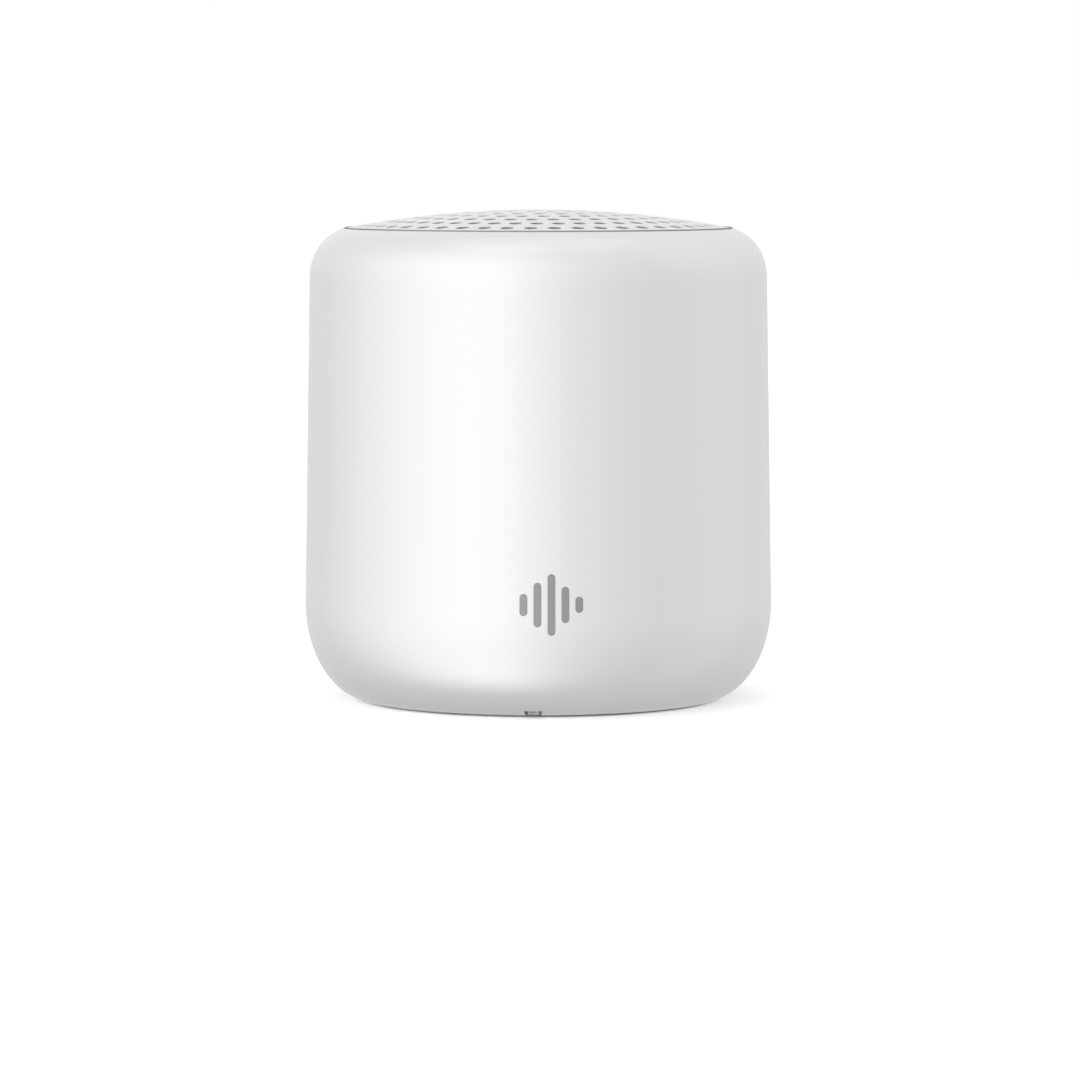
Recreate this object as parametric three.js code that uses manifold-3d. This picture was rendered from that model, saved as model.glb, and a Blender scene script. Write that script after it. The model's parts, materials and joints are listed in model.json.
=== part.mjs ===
// A palm-sized wireless speaker: a round moulded shell with a domed perforated grille on top, a
// full-range driver under the grille, and a battery, circuit board and controls below the driver.
// Millimetres. +Z is up and -Y is the front. The origin is the centre of the base, on the plane
// that the rubber foot stands on.

import * as THREE from 'three';
import { mergeVertices } from 'three/addons/utils/BufferGeometryUtils.js';
import Module from 'manifold-3d';

const wasm = await Module();
wasm.setup();

// ---------------------------------------------------------------- driving dimensions

// Shell
const bodyRadius = 24.0; // widest radius, at the top of the lower corner
const shellHeight = 48.76; // height that the shoulder curve would reach at its flat top
const wallDraft = 0.52; // how much the side wall leans in between the two corners
const cornerRun = 6.48; // lower corner, inwards
const cornerHeight = 9.89; // lower corner, upwards
const shoulderRun = 6.76; // upper corner, inwards
const shoulderRise = 6.14; // upper corner, upwards
const shoulderFullness = 2.42; // superellipse exponent, 2 would be a plain ellipse
const mouthInset = 3.54; // from the shoulder radius in to the grille opening
const wall = 1.6;
const boreDepth = 6.3; // straight bore under the grille opening
const lipWall = 0.42; // edge of the shell around the base
const ledgeWidth = 1.45; // shelf that the base and the chassis clamp
const ledgeThickness = 1.2;
const ledgeFillet = 0.5;
const roundSides = 24; // flats around the driver's parts
const shellSides = 40; // flats around the shell and what fits it

// Grille
const domeRise = 1.84; // height of the dome above the grille's edge
const grilleStep = 0.05; // how far the grille's edge stands above the shell's edge
const plateThickness = 0.7;
const carrierDepth = 2.7; // ring that holds the grille, from the shell's edge down
const carrierWidth = 1.0;
const gasketWall = 0.3; // rubber ring between the grille and the shell
const gasketInset = 0.5;
const holeRadius = 0.65;
const ringPitch = 2.56; // radial distance between rings of holes
const holePitch = 2.154; // distance between holes along a ring
const rimHolePitch = 2.346; // the same, on the outermost ring
const grilleMargin = 1.6; // least solid width outside the outermost ring
const ringStagger = [0, 0, -0.38, 0.06, 0.25, -0.29, -0.06, -0.31]; // turns of each ring, in hole pitches
const holeSides = 4;
const gasketRise = 0.1; // lip of the rubber ring above the shell's edge
const clothThickness = 0.2;
const clothGap = 0.3; // under the grille

// Foot and base
const footDrop = 0.25; // the foot stands this far below the shell
const footHeight = 1.05;
const footWidth = 5.4;
const footBevel = 0.15;
const baseRecess = 0.45; // underside of the base above the ground
const baseFloor = 1.2;
const dishWall = 0.8;
const postRadius = 1.2; // posts that hold the board up

// Screws
const screwRadius = 0.8;
const screwLength = 5.0;
const screwHeadRadius = 1.4;
const screwHeadHeight = 0.75;
const driveSlot = { width: 0.4, length: 1.7, depth: 0.5 };
const legAngles = [30, 150, 210, 330];
const legInset = 1.4; // screws and legs inside the ledge

// Chassis
const legRadius = 2.0;
const legShoulder = 0.6; // step that rests on the circuit board
const tabLength = 3.4; // foot of each leg, out over the ledge
const tabThickness = 1.25;
const tabWidth = 3.6;
const boardRoom = 6.0; // free height above the circuit board
const trayThickness = 1.2;
const trayInset = 1.2; // the tray is this much smaller than the driver's seat
const pillarDepth = 1.3;
const pillarWidth = 2.6;
const driverSeatWidth = 2.2;
const driverSeatThickness = 1.2;
const cableNotchWidth = 8.0;
const cableNotchDepth = 3.0;
const fenceLength = 16.0; // low walls along the battery
const fenceThickness = 1.0;
const sink = 0.2; // how far joined solids reach into each other

// Battery
const batteryLength = 28.0;
const batteryWidth = 20.0;
const batteryThickness = 6.0;
const padThickness = 0.8;
const pad = { length: 24.0, width: 12.0 };
const protection = { thickness: 0.8, width: 9.0, height: 4.0, lift: 1.0 };

// Driver
const driverGasketThickness = 0.5;
const seatSlack = 0.4; // the driver is this much smaller than its seat in the chassis
const flangeWidth = 2.5;
const flangeThickness = 1.0;
const basketDepth = 8.3; // from the flange down to the top plate seat
const basketWall = 0.8;
const basketFootHeight = 2.2; // upright wall under the cone-shaped part
const spiderSeat = { height: 1.9, width: 0.3 };
const windowWidth = 8.4;
const windowSill = 0.4;
const windowLintel = 1.6;
const basketRim = 0.45; // wall of the basket where it meets the flange
const seatRadius = 12.1; // inside of the basket at its foot
const surroundWidth = 3.2;
const surroundThickness = 0.3;
const surroundRoll = 1.5; // radius of the half roll
const surroundInset = 0.6; // lips stop short of the rims they are glued to
const coneWall = 0.35;
const coneDepth = 6.0;
const coneFoot = 0.65; // thickened edge around the coil
const coneGlue = 0.4; // flat rim under the surround
const coilRadius = 6.05; // middle of the voice coil former
const formerWall = 0.2;
const formerLength = 7.0;
const coilHeight = 3.4;
const coilThickness = 0.42;
const coilGap = 0.35; // clearance in the magnet's air gap, each side
const topPlateRadius = 11.5;
const topPlateThickness = 2.4;
const magnetRadius = 12.5;
const magnetThickness = 4.55;
const yokeThickness = 2.0;
const edgeBreak = 0.3; // small bevel on steel edges
const terminal = { width: 8.0, thickness: 0.8, height: 5.0, inset: 0.6 };
const terminalTabWidth = 3.0;
const spiderLift = 2.1; // above the foot of the basket
const spiderWaves = 3;
const spiderWaveHeight = 0.6;
const spiderThickness = 0.25;
const capOverlap = 1.3; // dust cap over the former
const capRise = 2.2;
const capWall = 0.3;
const lacquer = 0.03; // between the former and the winding

// Circuit board
const boardThickness = 1.2;
const boardLift = 6.4; // underside of the board above the ground
const boardEdgeRoom = 0.4; // inside the ledge
const tongueHalfWidth = 5.2;
const portOverhang = 2.3; // of the socket past the board
const portMouthSetback = 0.8; // from the outside of the shell to the socket's mouth

// Parts on the board: size along X, Y and Z, and place
const boardParts = [
  { name: 'wireless_chip', size: [6, 6, 0.9], at: [-5.5, 3], finish: ['#1b1b1c', 0.5, 0] },
  { name: 'amplifier_chip', size: [4, 4, 0.9], at: [3.5, -4.5], finish: ['#1b1b1c', 0.5, 0] },
  { name: 'power_inductor', size: [4, 4, 2.4], at: [-2, -6.5], finish: ['#3a3a3c', 0.7, 0.1] },
  { name: 'clock_crystal', size: [3.2, 2.5, 0.8], at: [-5.5, 8], finish: ['#c9ccd0', 0.3, 1] },
];
const capacitor = { radius: 2.0, height: 4.6, x: 6.8, y: -9.0 };

// Plugs that stand in headers on the board
const plug = { width: 4.0, depth: 2.2, height: 2.6 };
const headerWall = 0.7;
const headerFloor = 0.8;
const headerHeight = 3.0;
const speakerPlugY = 10.0;
const batteryPlugX = 9.0;

// Charging socket
const portWidth = 8.94;
const portHeight = 3.16;
const portLength = 7.3;
const portWall = 0.3;
const portRim = 0.33; // gap around the socket in the shell's cut-out
const blade = { width: 6.7, thickness: 0.7, length: 4.95, root: 1.8 };

// Power button and its switch
const buttonAngle = 58;
const controlLift = 2.0; // button and microphone above the board
const buttonRadius = 3.0;
const buttonTravel = 0.4;
const buttonGap = 0.3; // around the cap in the shell
const buttonFlange = 0.9;
const buttonFlangeThickness = 0.7;
const buttonFlangeRoom = 0.8; // the flange's corners stay clear of the round wall
const buttonProud = 0.1;
const buttonCrown = 0.35;
const stemRadius = 1.2;
const switchBody = { depth: 3.5, width: 6.0, height: 3.6 };
const switchBackWall = 1.0;
const plungerRadius = 1.0;
const plungerReach = 3.0;

// Microphone
const microphoneAngle = 122;
const microphoneRadius = 2.0;
const microphoneDepth = 1.5;
const soundHoleRadius = 0.6;
const bootWall = 0.8;
const bootTaper = 0.6;
const capsuleInset = 0.3; // inside the back of the boot

// Front indicator
const slotWidth = 1.74;
const slotTop = 0.78; // top of the slot above the ground
const slotAngle = -1.5; // turned this far from the front
const guideDepth = 0.4;
const guideToe = { height: 0.17, reach: 0.2 };
const guideHead = { width: 2.5, depth: 0.9, height: 0.6 };
const lightSize = { width: 1.6, depth: 0.8, height: 0.6 };
const lightGap = 0.45; // between the lamp and the guide
const lightBoardWidth = 4.4;
const lightBoardMargin = 1.0;

// Leads
const leadRadius = 0.5;
const leadPitch = 2.0; // between the two leads of a plug
const tinselRadius = 0.25;

// Clearances
const fit = 0.15; // running and assembly gap between moulded parts
const rest = 0.05; // between faces that rest on each other
const turned = 0.3; // beside faces in turned groups

// ---------------------------------------------------------------- derived places

const shoulderRadius = bodyRadius - wallDraft;
const flatRadius = bodyRadius - cornerRun;
const shoulderZ = shellHeight - shoulderRise;
const boreRadius = shoulderRadius - mouthInset;
const mouthZ = heightOfShoulder(boreRadius);
const gasketOuter = boreRadius - 0.02;
const grilleRadius = gasketOuter - gasketWall - 0.02;
const grilleEdgeZ = mouthZ + grilleStep;
const domeTopZ = grilleEdgeZ + domeRise;
const domeSphere = (grilleRadius ** 2 + domeRise ** 2) / (2 * domeRise);

const baseBore = outerRadius(footDrop) - lipWall;
const baseRadius = baseBore - fit;
const ledgeRadius = baseBore - ledgeWidth;
const coverTopZ = footHeight + screwHeadHeight + 3 * rest;
const screwSeatZ = coverTopZ;
const ledgeZ = coverTopZ + rest;
const ledgeTopZ = ledgeZ + ledgeThickness;
const chassisZ = ledgeTopZ + rest;
const legCircle = ledgeRadius - legInset;

const boardTopZ = boardLift + boardThickness;
const boardRadius = ledgeRadius - boardEdgeRoom;
const trayZ = boardTopZ + boardRoom;
const trayTopZ = trayZ + trayThickness;
const batteryZ = trayTopZ + padThickness + 2 * rest;

const carrierZ = mouthZ - carrierDepth;
const flangeTopZ = carrierZ - surroundThickness - 2 * rest;
const flangeZ = flangeTopZ - flangeThickness;
const driverSeatTopZ = flangeZ - driverGasketThickness - 2 * rest;
const driverSeatZ = driverSeatTopZ - driverSeatThickness;
const seatOuter = boreRadius - fit - rest;
const trayRadius = seatOuter - trayInset;
const flangeRadius = seatOuter - seatSlack;
const flangeBore = flangeRadius - flangeWidth;
const plateSeatZ = flangeZ - basketDepth;
const topPlateZ = plateSeatZ - rest - topPlateThickness;
const magnetZ = topPlateZ - rest - magnetThickness;
const yokeZ = magnetZ - rest - yokeThickness;
const formerInner = coilRadius - formerWall / 2;
const formerOuter = coilRadius + formerWall / 2;
const coilOuter = formerOuter + lacquer + coilThickness;
const coilZ = topPlateZ + topPlateThickness / 2 - coilHeight / 2;
const formerTopZ = coilZ + formerLength;
const coneEdge = flangeBore - surroundWidth;
const coneTopZ = flangeTopZ - 2 * rest;
const coneFootZ = coneTopZ - coneDepth;
const coneInner = [formerOuter + rest, coneFootZ + coneFoot];
const coneOuter = [coneEdge - coneGlue / 2, coneTopZ];
const terminalY = flangeBore - terminal.inset;
const spiderZ = plateSeatZ + spiderLift;

const partLow = boardTopZ + rest;
const protectionX = batteryLength / 2 + fit;
const plugZ = partLow + headerFloor + rest;
const leadStartZ = plugZ + plug.height + fit;
const notchLine = trayRadius - cableNotchDepth / 2;
const portZ = boardTopZ + rest + portHeight / 2;
const portMouthY = outerRadius(portZ) - portMouthSetback;
const portBackY = portMouthY - portLength;
const controlZ = boardTopZ + controlLift;
const controlWall = innerRadius(controlZ);
const switchFrontX = boardRadius + rest;
const switchBoreX = switchFrontX - switchBody.depth + switchBackWall;
const stemEndX = switchFrontX + plungerReach + 2 * rest;
const flangeBackX = controlWall - buttonFlangeThickness - buttonFlangeRoom;
const bootStartX = boardRadius + turned;
const capsuleStartX = bootStartX + capsuleInset;
const bootEndX = controlWall - turned;
const slotRadius = outerRadius(slotTop);
const guideWidth = slotWidth - 2 * turned;
const guideMiddle = baseBore + rest + guideDepth / 2;
const lightZ = boardLift - rest - lightSize.height;

// ---------------------------------------------------------------- outline of the shell

function outerRadius(z) {
  if (z < cornerHeight) {
    const drop = (cornerHeight - z) / cornerHeight;
    return bodyRadius - cornerRun + cornerRun * Math.sqrt(1 - drop * drop);
  }
  const up = Math.min(1, (z - cornerHeight) / (shellHeight - shoulderRise - cornerHeight));
  return bodyRadius - wallDraft * up;
}

function innerRadius(z) {
  return outerRadius(z) - wall;
}

function heightOfShoulder(radius) {
  const across = 1 - (bodyRadius - wallDraft - radius) / shoulderRun;
  const rise = (1 - across ** shoulderFullness) ** (1 / shoulderFullness);
  return shellHeight - shoulderRise + shoulderRise * rise;
}

function cornerCurve(steps, inset = 0) {
  const start = Math.acos(1 - footDrop / cornerHeight);
  const points = [];
  for (let i = 0; i <= steps; i += 1) {
    const turn = start + ((Math.PI / 2 - start) * i) / steps;
    const z = cornerHeight - (cornerHeight - inset) * Math.cos(turn);
    points.push([flatRadius + (cornerRun - inset) * Math.sin(turn), z]);
  }
  return points;
}

function shoulderCurve(steps) {
  const across = 1 - (shoulderRadius - boreRadius) / shoulderRun;
  const end = Math.acos(across ** (shoulderFullness / 2));
  const points = [];
  for (let i = 0; i <= steps; i += 1) {
    const turn = (end * i) / steps;
    const reach = Math.cos(turn) ** (2 / shoulderFullness);
    const rise = Math.sin(turn) ** (2 / shoulderFullness);
    points.push([shoulderRadius - shoulderRun * (1 - reach), shoulderZ + shoulderRise * rise]);
  }
  return points;
}

function domeZ(radius) {
  return domeTopZ - domeSphere + Math.sqrt(domeSphere ** 2 - radius ** 2);
}

// ---------------------------------------------------------------- geometry helpers

// A closed mesh as a solid: shared corners merged and collapsed triangles dropped.
function toSolid(geometry) {
  const bare = geometry.clone();
  bare.deleteAttribute('normal');
  bare.deleteAttribute('uv');
  const merged = mergeVertices(bare, 1e-5);
  const index = [...merged.index.array];
  const kept = [];
  for (let i = 0; i < index.length; i += 3) {
    const [a, b, c] = index.slice(i, i + 3);
    if (a !== b && b !== c && c !== a) kept.push(a, b, c);
  }
  const vertProperties = new Float32Array(merged.attributes.position.array);
  return new wasm.Manifold(
    new wasm.Mesh({ numProp: 3, vertProperties, triVerts: new Uint32Array(kept) }),
  );
}

function toGeometry(body) {
  const mesh = body.getMesh();
  const geometry = new THREE.BufferGeometry();
  geometry.setAttribute('position', new THREE.BufferAttribute(mesh.vertProperties, 3));
  geometry.setIndex(new THREE.BufferAttribute(mesh.triVerts, 1));
  geometry.computeVertexNormals();
  return geometry;
}

function join(...geometries) {
  return toGeometry(geometries.map(toSolid).reduce((whole, next) => whole.add(next)));
}

function cut(geometry, ...cutters) {
  return toGeometry(cutters.map(toSolid).reduce((whole, next) => whole.subtract(next), toSolid(geometry)));
}

// Turns a profile of [radius, height] points, listed with the solid on its left, about Z.
function turn(points, sides) {
  const profile = points.map(([radius, z]) => new THREE.Vector2(radius, z));
  return new THREE.LatheGeometry(profile, sides).rotateX(Math.PI / 2);
}

// A plain ring of rectangular section.
function ring(inner, outer, low, high, sides) {
  return turn([[inner, low], [outer, low], [outer, high], [inner, high], [inner, low]], sides);
}

function disc(radius, low, high, sides) {
  return turn([[0, low], [radius, low], [radius, high], [0, high]], sides);
}

// A block given by its size, standing on the height low and centred on x, y.
function block(sizeX, sizeY, sizeZ, x, y, low) {
  return new THREE.BoxGeometry(sizeX, sizeY, sizeZ).translate(x, y, low + sizeZ / 2);
}

// A round bar along +X from start to end, at the height z.
function barX(radius, start, end, z, sides = 16) {
  const bar = new THREE.CylinderGeometry(radius, radius, end - start, sides);
  return bar.rotateZ(-Math.PI / 2).translate((start + end) / 2, 0, z);
}

function aboutZ(geometry, degrees) {
  return geometry.rotateZ(THREE.MathUtils.degToRad(degrees));
}

// A round-ended bar along Y, as a charging socket's section.
function roundedBar(width, height, start, end, z, endSides = 4) {
  const radius = height / 2;
  const half = width / 2 - radius;
  const outline = new THREE.Shape();
  outline.absarc(half, 0, radius, -Math.PI / 2, Math.PI / 2, false);
  outline.absarc(-half, 0, radius, Math.PI / 2, (3 * Math.PI) / 2, false);
  outline.closePath();
  const bar = new THREE.ExtrudeGeometry(outline, {
    depth: end - start, bevelEnabled: false, curveSegments: endSides,
  });
  return bar.rotateX(Math.PI / 2).translate(0, end, z);
}

// A lead of round section along a smooth curve.
function lead(points, radius, steps) {
  const section = new THREE.Shape();
  section.absarc(0, 0, radius, 0, 2 * Math.PI, false);
  const path = new THREE.CatmullRomCurve3(points.map((p) => new THREE.Vector3(...p)));
  return new THREE.ExtrudeGeometry(section, {
    steps, extrudePath: path, bevelEnabled: false, curveSegments: 4,
  });
}

// ---------------------------------------------------------------- scene graph

const speaker = new THREE.Group();
const controls = new THREE.Group();
controls.rotation.z = THREE.MathUtils.degToRad(buttonAngle);
const listening = new THREE.Group();
listening.rotation.z = THREE.MathUtils.degToRad(microphoneAngle);
const indicator = new THREE.Group();
indicator.rotation.z = THREE.MathUtils.degToRad(slotAngle);
speaker.add(controls, listening, indicator);

function place(name, geometry, color, roughness, metalness, parent = speaker) {
  const material = new THREE.MeshStandardMaterial({ color, roughness, metalness });
  const mesh = new THREE.Mesh(geometry, material);
  mesh.name = name;
  parent.add(mesh);
}

// ---------------------------------------------------------------- shell

function makeShell() {
  const cornerInside = cornerCurve(5, wall).filter(([, z]) => z > ledgeTopZ + sink);
  const outside = [...cornerCurve(6), ...shoulderCurve(6)];
  const inside = [
    [boreRadius, mouthZ - boreDepth],
    [shoulderRadius - wall, mouthZ - boreDepth - (shoulderRadius - wall - boreRadius)],
    ...cornerInside.reverse(),
    [cornerInside.at(-1)[0] - ledgeFillet, ledgeTopZ],
    [ledgeRadius, ledgeTopZ],
    [ledgeRadius, ledgeZ],
    [baseBore, ledgeZ],
    [baseBore, footDrop],
  ];
  const blank = turn([[baseBore, footDrop], ...outside, ...inside], shellSides);
  const reach = 2 * wall;
  const portCut = roundedBar(
    portWidth + 2 * portRim, portHeight + 2 * portRim, portMouthY - reach, portMouthY + reach, portZ,
  );
  const buttonCut = aboutZ(
    barX(buttonRadius + buttonGap, controlWall - reach, bodyRadius + reach, controlZ, 24), buttonAngle,
  );
  const soundCut = aboutZ(
    barX(soundHoleRadius, controlWall - reach, bodyRadius + reach, controlZ, 8), microphoneAngle,
  );
  const slotDepth = reach + slotRadius - baseBore;
  const slotCut = aboutZ(
    block(slotWidth, slotDepth, slotTop, 0, sink - baseBore - slotDepth / 2, 0), slotAngle,
  );
  const guideCut = aboutZ(
    block(guideWidth + 2 * turned, guideDepth + 3 * turned, ledgeTopZ + sink, 0, -guideMiddle, 0),
    slotAngle,
  );
  return cut(blank, portCut, buttonCut, soundCut, slotCut, guideCut);
}

// ---------------------------------------------------------------- grille

function ringHoles(index, count) {
  const last = index === count;
  const radius = index * ringPitch;
  if (index === 0) return { radius, holes: 1, first: 0 };
  const holes = Math.round((2 * Math.PI * radius) / (last ? rimHolePitch : holePitch));
  const stagger = ringStagger[index % ringStagger.length];
  return { radius, holes, first: -Math.PI / 2 + (stagger * 2 * Math.PI) / holes };
}

function circlePath(path, x, y, radius, sides, start = 0) {
  const corners = [];
  for (let i = 0; i < sides; i += 1) {
    const angle = start + (2 * Math.PI * i) / sides;
    corners.push(new THREE.Vector2(x + radius * Math.cos(angle), y + radius * Math.sin(angle)));
  }
  path.setFromPoints(corners);
  path.closePath();
  return path;
}

// One annular band of the plate with its ring of holes, flat, then bent to the dome.
function grilleBand(index, count) {
  const sidesAt = (k) => (k === count ? shellSides : 4 * (k + 1));
  const edgeAt = (k) => (k === count ? grilleRadius : (k + 0.5) * ringPitch);
  const outline = circlePath(new THREE.Shape(), 0, 0, edgeAt(index), sidesAt(index));
  if (index > 0) {
    outline.holes.push(circlePath(new THREE.Path(), 0, 0, edgeAt(index - 1), sidesAt(index - 1)));
  }
  const { radius, holes, first } = ringHoles(index, count);
  for (let i = 0; i < holes; i += 1) {
    const angle = first + (2 * Math.PI * i) / holes;
    const x = radius * Math.cos(angle);
    const y = radius * Math.sin(angle);
    outline.holes.push(circlePath(new THREE.Path(), x, y, holeRadius, holeSides, angle));
  }
  const band = new THREE.ExtrudeGeometry(outline, { depth: plateThickness, bevelEnabled: false });
  const position = band.attributes.position;
  for (let i = 0; i < position.count; i += 1) {
    const out = Math.hypot(position.getX(i), position.getY(i));
    position.setZ(i, position.getZ(i) - plateThickness + domeZ(out));
  }
  return band;
}

function makeGrille() {
  const count = Math.floor((grilleRadius - grilleMargin) / ringPitch);
  const bands = [];
  for (let index = 0; index <= count; index += 1) bands.push(grilleBand(index, count));
  return join(...bands);
}

// The moulded ring that carries the grille and presses the driver down.
function makeCarrier() {
  const inner = grilleRadius - carrierWidth;
  const top = domeZ(grilleRadius) - plateThickness - rest;
  return ring(inner, grilleRadius, carrierZ, top, shellSides);
}

function makeGasket() {
  const top = mouthZ + gasketRise;
  return ring(gasketOuter - gasketWall, gasketOuter, carrierZ + gasketInset, top, shellSides);
}

function makeCloth() {
  const edge = grilleRadius - carrierWidth - fit;
  const rings = 3;
  const upper = [];
  for (let i = 0; i <= rings; i += 1) {
    const radius = (edge * i) / rings;
    upper.push([radius, domeZ(radius) - plateThickness - clothGap]);
  }
  const lower = upper.map(([radius, z]) => [radius, z - clothThickness]);
  return turn([...lower, ...upper.reverse()], roundSides);
}

// ---------------------------------------------------------------- driver

function makeDriverFrame() {
  const wallTopZ = plateSeatZ + basketFootHeight;
  const seatZ = plateSeatZ + spiderSeat.height;
  const hub = coilOuter + coilGap;
  const footOuter = seatRadius + basketWall;
  const frame = turn(
    [
      [hub, plateSeatZ],
      [footOuter, plateSeatZ],
      [footOuter, wallTopZ - spiderSeat.width],
      [flangeBore + basketRim, flangeZ],
      [flangeRadius, flangeZ],
      [flangeRadius, flangeTopZ],
      [flangeBore, flangeTopZ],
      [flangeBore, flangeZ],
      [seatRadius + spiderSeat.width, wallTopZ],
      [seatRadius + spiderSeat.width, seatZ],
      [seatRadius, seatZ],
      [seatRadius, plateSeatZ + basketWall],
      [hub, plateSeatZ + basketWall],
      [hub, plateSeatZ],
    ],
    roundSides,
  );
  const windowZ = wallTopZ + windowSill;
  const windowHeight = flangeZ - windowLintel - windowZ;
  const windows = [0, 90, 180, 270].map((angle) => aboutZ(
    block(flangeRadius, windowWidth, windowHeight, flangeRadius / 2 + seatRadius / 2, 0, windowZ), angle,
  ));
  const tabStart = footOuter - sink;
  const tabEnd = terminalY - 2 * rest;
  const tab = block(
    terminalTabWidth, tabEnd - tabStart, basketWall, 0, (tabStart + tabEnd) / 2, plateSeatZ + basketWall,
  );
  return cut(join(frame, tab), ...windows);
}

function makeCone() {
  const foot = coneInner[0];
  return turn(
    [
      [foot, coneFootZ],
      [foot + coneGlue, coneFootZ],
      [coneEdge, coneTopZ - coneWall],
      [coneEdge + coneGlue, coneTopZ - coneWall],
      [coneEdge + coneGlue, coneTopZ],
      coneOuter,
      coneInner,
      [foot, coneFootZ],
    ],
    roundSides,
  );
}

// A rubber half roll with a flat lip on each side.
function makeSurround() {
  const low = flangeTopZ + rest;
  const high = low + surroundThickness;
  const middle = (flangeBore + coneEdge + coneGlue) / 2;
  const lipOuter = flangeRadius - surroundInset;
  const lipInner = coneEdge - surroundInset;
  const steps = 4;
  const arc = (radius, from, to) => {
    const points = [];
    for (let i = 0; i <= steps; i += 1) {
      const angle = from + ((to - from) * i) / steps;
      points.push([middle + radius * Math.cos(angle), low + radius * Math.sin(angle)]);
    }
    return points;
  };
  const outer = surroundRoll + surroundThickness / 2;
  const inner = surroundRoll - surroundThickness / 2;
  const rollStart = Math.asin(surroundThickness / outer) + 0.05;
  return turn(
    [
      ...arc(inner, Math.PI, 0),
      [lipOuter, low],
      [lipOuter, high],
      [middle + outer, high],
      ...arc(outer, rollStart, Math.PI - rollStart),
      [middle - outer, high],
      [lipInner, high],
      [lipInner, low],
      [middle - inner, low],
    ],
    roundSides,
  );
}

// A corrugated disc that centres the voice coil.
function makeSpider() {
  const start = formerOuter + 0.05;
  const end = seatRadius + 0.1;
  const steps = spiderWaves * 2;
  const lower = [];
  for (let i = 0; i <= steps; i += 1) {
    const radius = start + ((end - start) * i) / steps;
    lower.push([radius, spiderZ + (i % 2 === 1 ? spiderWaveHeight : 0)]);
  }
  const upper = lower.map(([radius, z]) => [radius, z + spiderThickness]).reverse();
  return turn([...lower, ...upper, lower[0]], roundSides);
}

// Height of the cone's upper face at a radius.
function coneFaceZ(radius) {
  const [innerEdge, innerZ] = coneInner;
  const [outerEdge, outerZ] = coneOuter;
  return innerZ + ((outerZ - innerZ) * (radius - innerEdge)) / (outerEdge - innerEdge);
}

function makeDustCap() {
  const edge = formerOuter + capOverlap;
  const low = coneFaceZ(edge) + rest;
  const steps = 3;
  const curve = (radius, height) => {
    const points = [];
    for (let i = 0; i <= steps; i += 1) {
      const angle = (Math.PI / 2) * (1 - i / steps);
      points.push([radius * Math.cos(angle), low + height * Math.sin(angle)]);
    }
    return points;
  };
  return turn([...curve(edge - capWall, capRise - capWall), ...curve(edge, capRise).reverse()], roundSides);
}

function makeYoke() {
  const pole = formerInner - coilGap;
  return turn(
    [
      [0, yokeZ],
      [topPlateRadius - edgeBreak, yokeZ],
      [topPlateRadius, yokeZ + edgeBreak],
      [topPlateRadius, yokeZ + yokeThickness],
      [pole, yokeZ + yokeThickness],
      [pole, topPlateZ + topPlateThickness - edgeBreak],
      [pole - edgeBreak, topPlateZ + topPlateThickness],
      [0, topPlateZ + topPlateThickness],
    ],
    roundSides,
  );
}

function makeTerminalBoard() {
  const middleY = terminalY + terminal.thickness / 2 + rest;
  return block(terminal.width, terminal.thickness, terminal.height, 0, middleY, plateSeatZ + 4 * rest);
}

// ---------------------------------------------------------------- chassis and battery

function onCircle(radius, degrees) {
  const angle = THREE.MathUtils.degToRad(degrees);
  return [radius * Math.cos(angle), radius * Math.sin(angle)];
}

function makeChassis() {
  const pillarMiddle = trayRadius - pillarDepth / 2 - rest;
  const seat = ring(seatOuter - driverSeatWidth, seatOuter, driverSeatZ, driverSeatTopZ, shellSides);
  const tray = disc(trayRadius, trayZ, trayTopZ, shellSides);
  const columns = legAngles.flatMap((angle) => {
    const [x, y] = onCircle(legCircle, angle);
    const pillarHeight = driverSeatZ - trayTopZ + 2 * sink;
    return [
      disc(legRadius, chassisZ, boardTopZ + rest, 10).translate(x, y, 0),
      disc(legRadius + legShoulder, boardTopZ + rest, trayZ + sink, 10).translate(x, y, 0),
      aboutZ(block(tabLength, tabWidth, tabThickness, legCircle + tabLength / 2, 0, chassisZ), angle),
      aboutZ(block(pillarDepth, pillarWidth, pillarHeight, pillarMiddle, 0, trayTopZ - sink), angle),
    ];
  });
  const fenceY = batteryWidth / 2 + 2 * fit + fenceThickness / 2;
  const fenceHeight = batteryZ + batteryThickness / 2 - trayTopZ + sink;
  const fences = [-1, 1].map((side) => block(
    fenceLength, fenceThickness, fenceHeight, 0, side * fenceY, trayTopZ - sink,
  ));
  const notch = [2 * cableNotchDepth, cableNotchWidth, trayThickness + 2 * sink];
  const sideNotch = block(...notch, trayRadius, 0, trayZ - sink);
  const rearNotch = aboutZ(block(...notch, trayRadius, 0, trayZ - sink), 90);
  const pilots = legAngles.map((angle) => {
    const [x, y] = onCircle(legCircle, angle);
    return disc(screwRadius + 2 * rest, chassisZ - 1, screwSeatZ + screwLength + 0.5, 10).translate(x, y, 0);
  });
  return cut(join(tray, seat, ...columns, ...fences), rearNotch, sideNotch, ...pilots);
}

// A pouch with rounded long edges.
function makeBattery() {
  const pouch = roundedBar(batteryWidth, batteryThickness, 0, batteryLength, 0, 4);
  pouch.rotateZ(-Math.PI / 2);
  return pouch.translate(-batteryLength / 2, 0, batteryZ + batteryThickness / 2);
}

// ---------------------------------------------------------------- base

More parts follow.
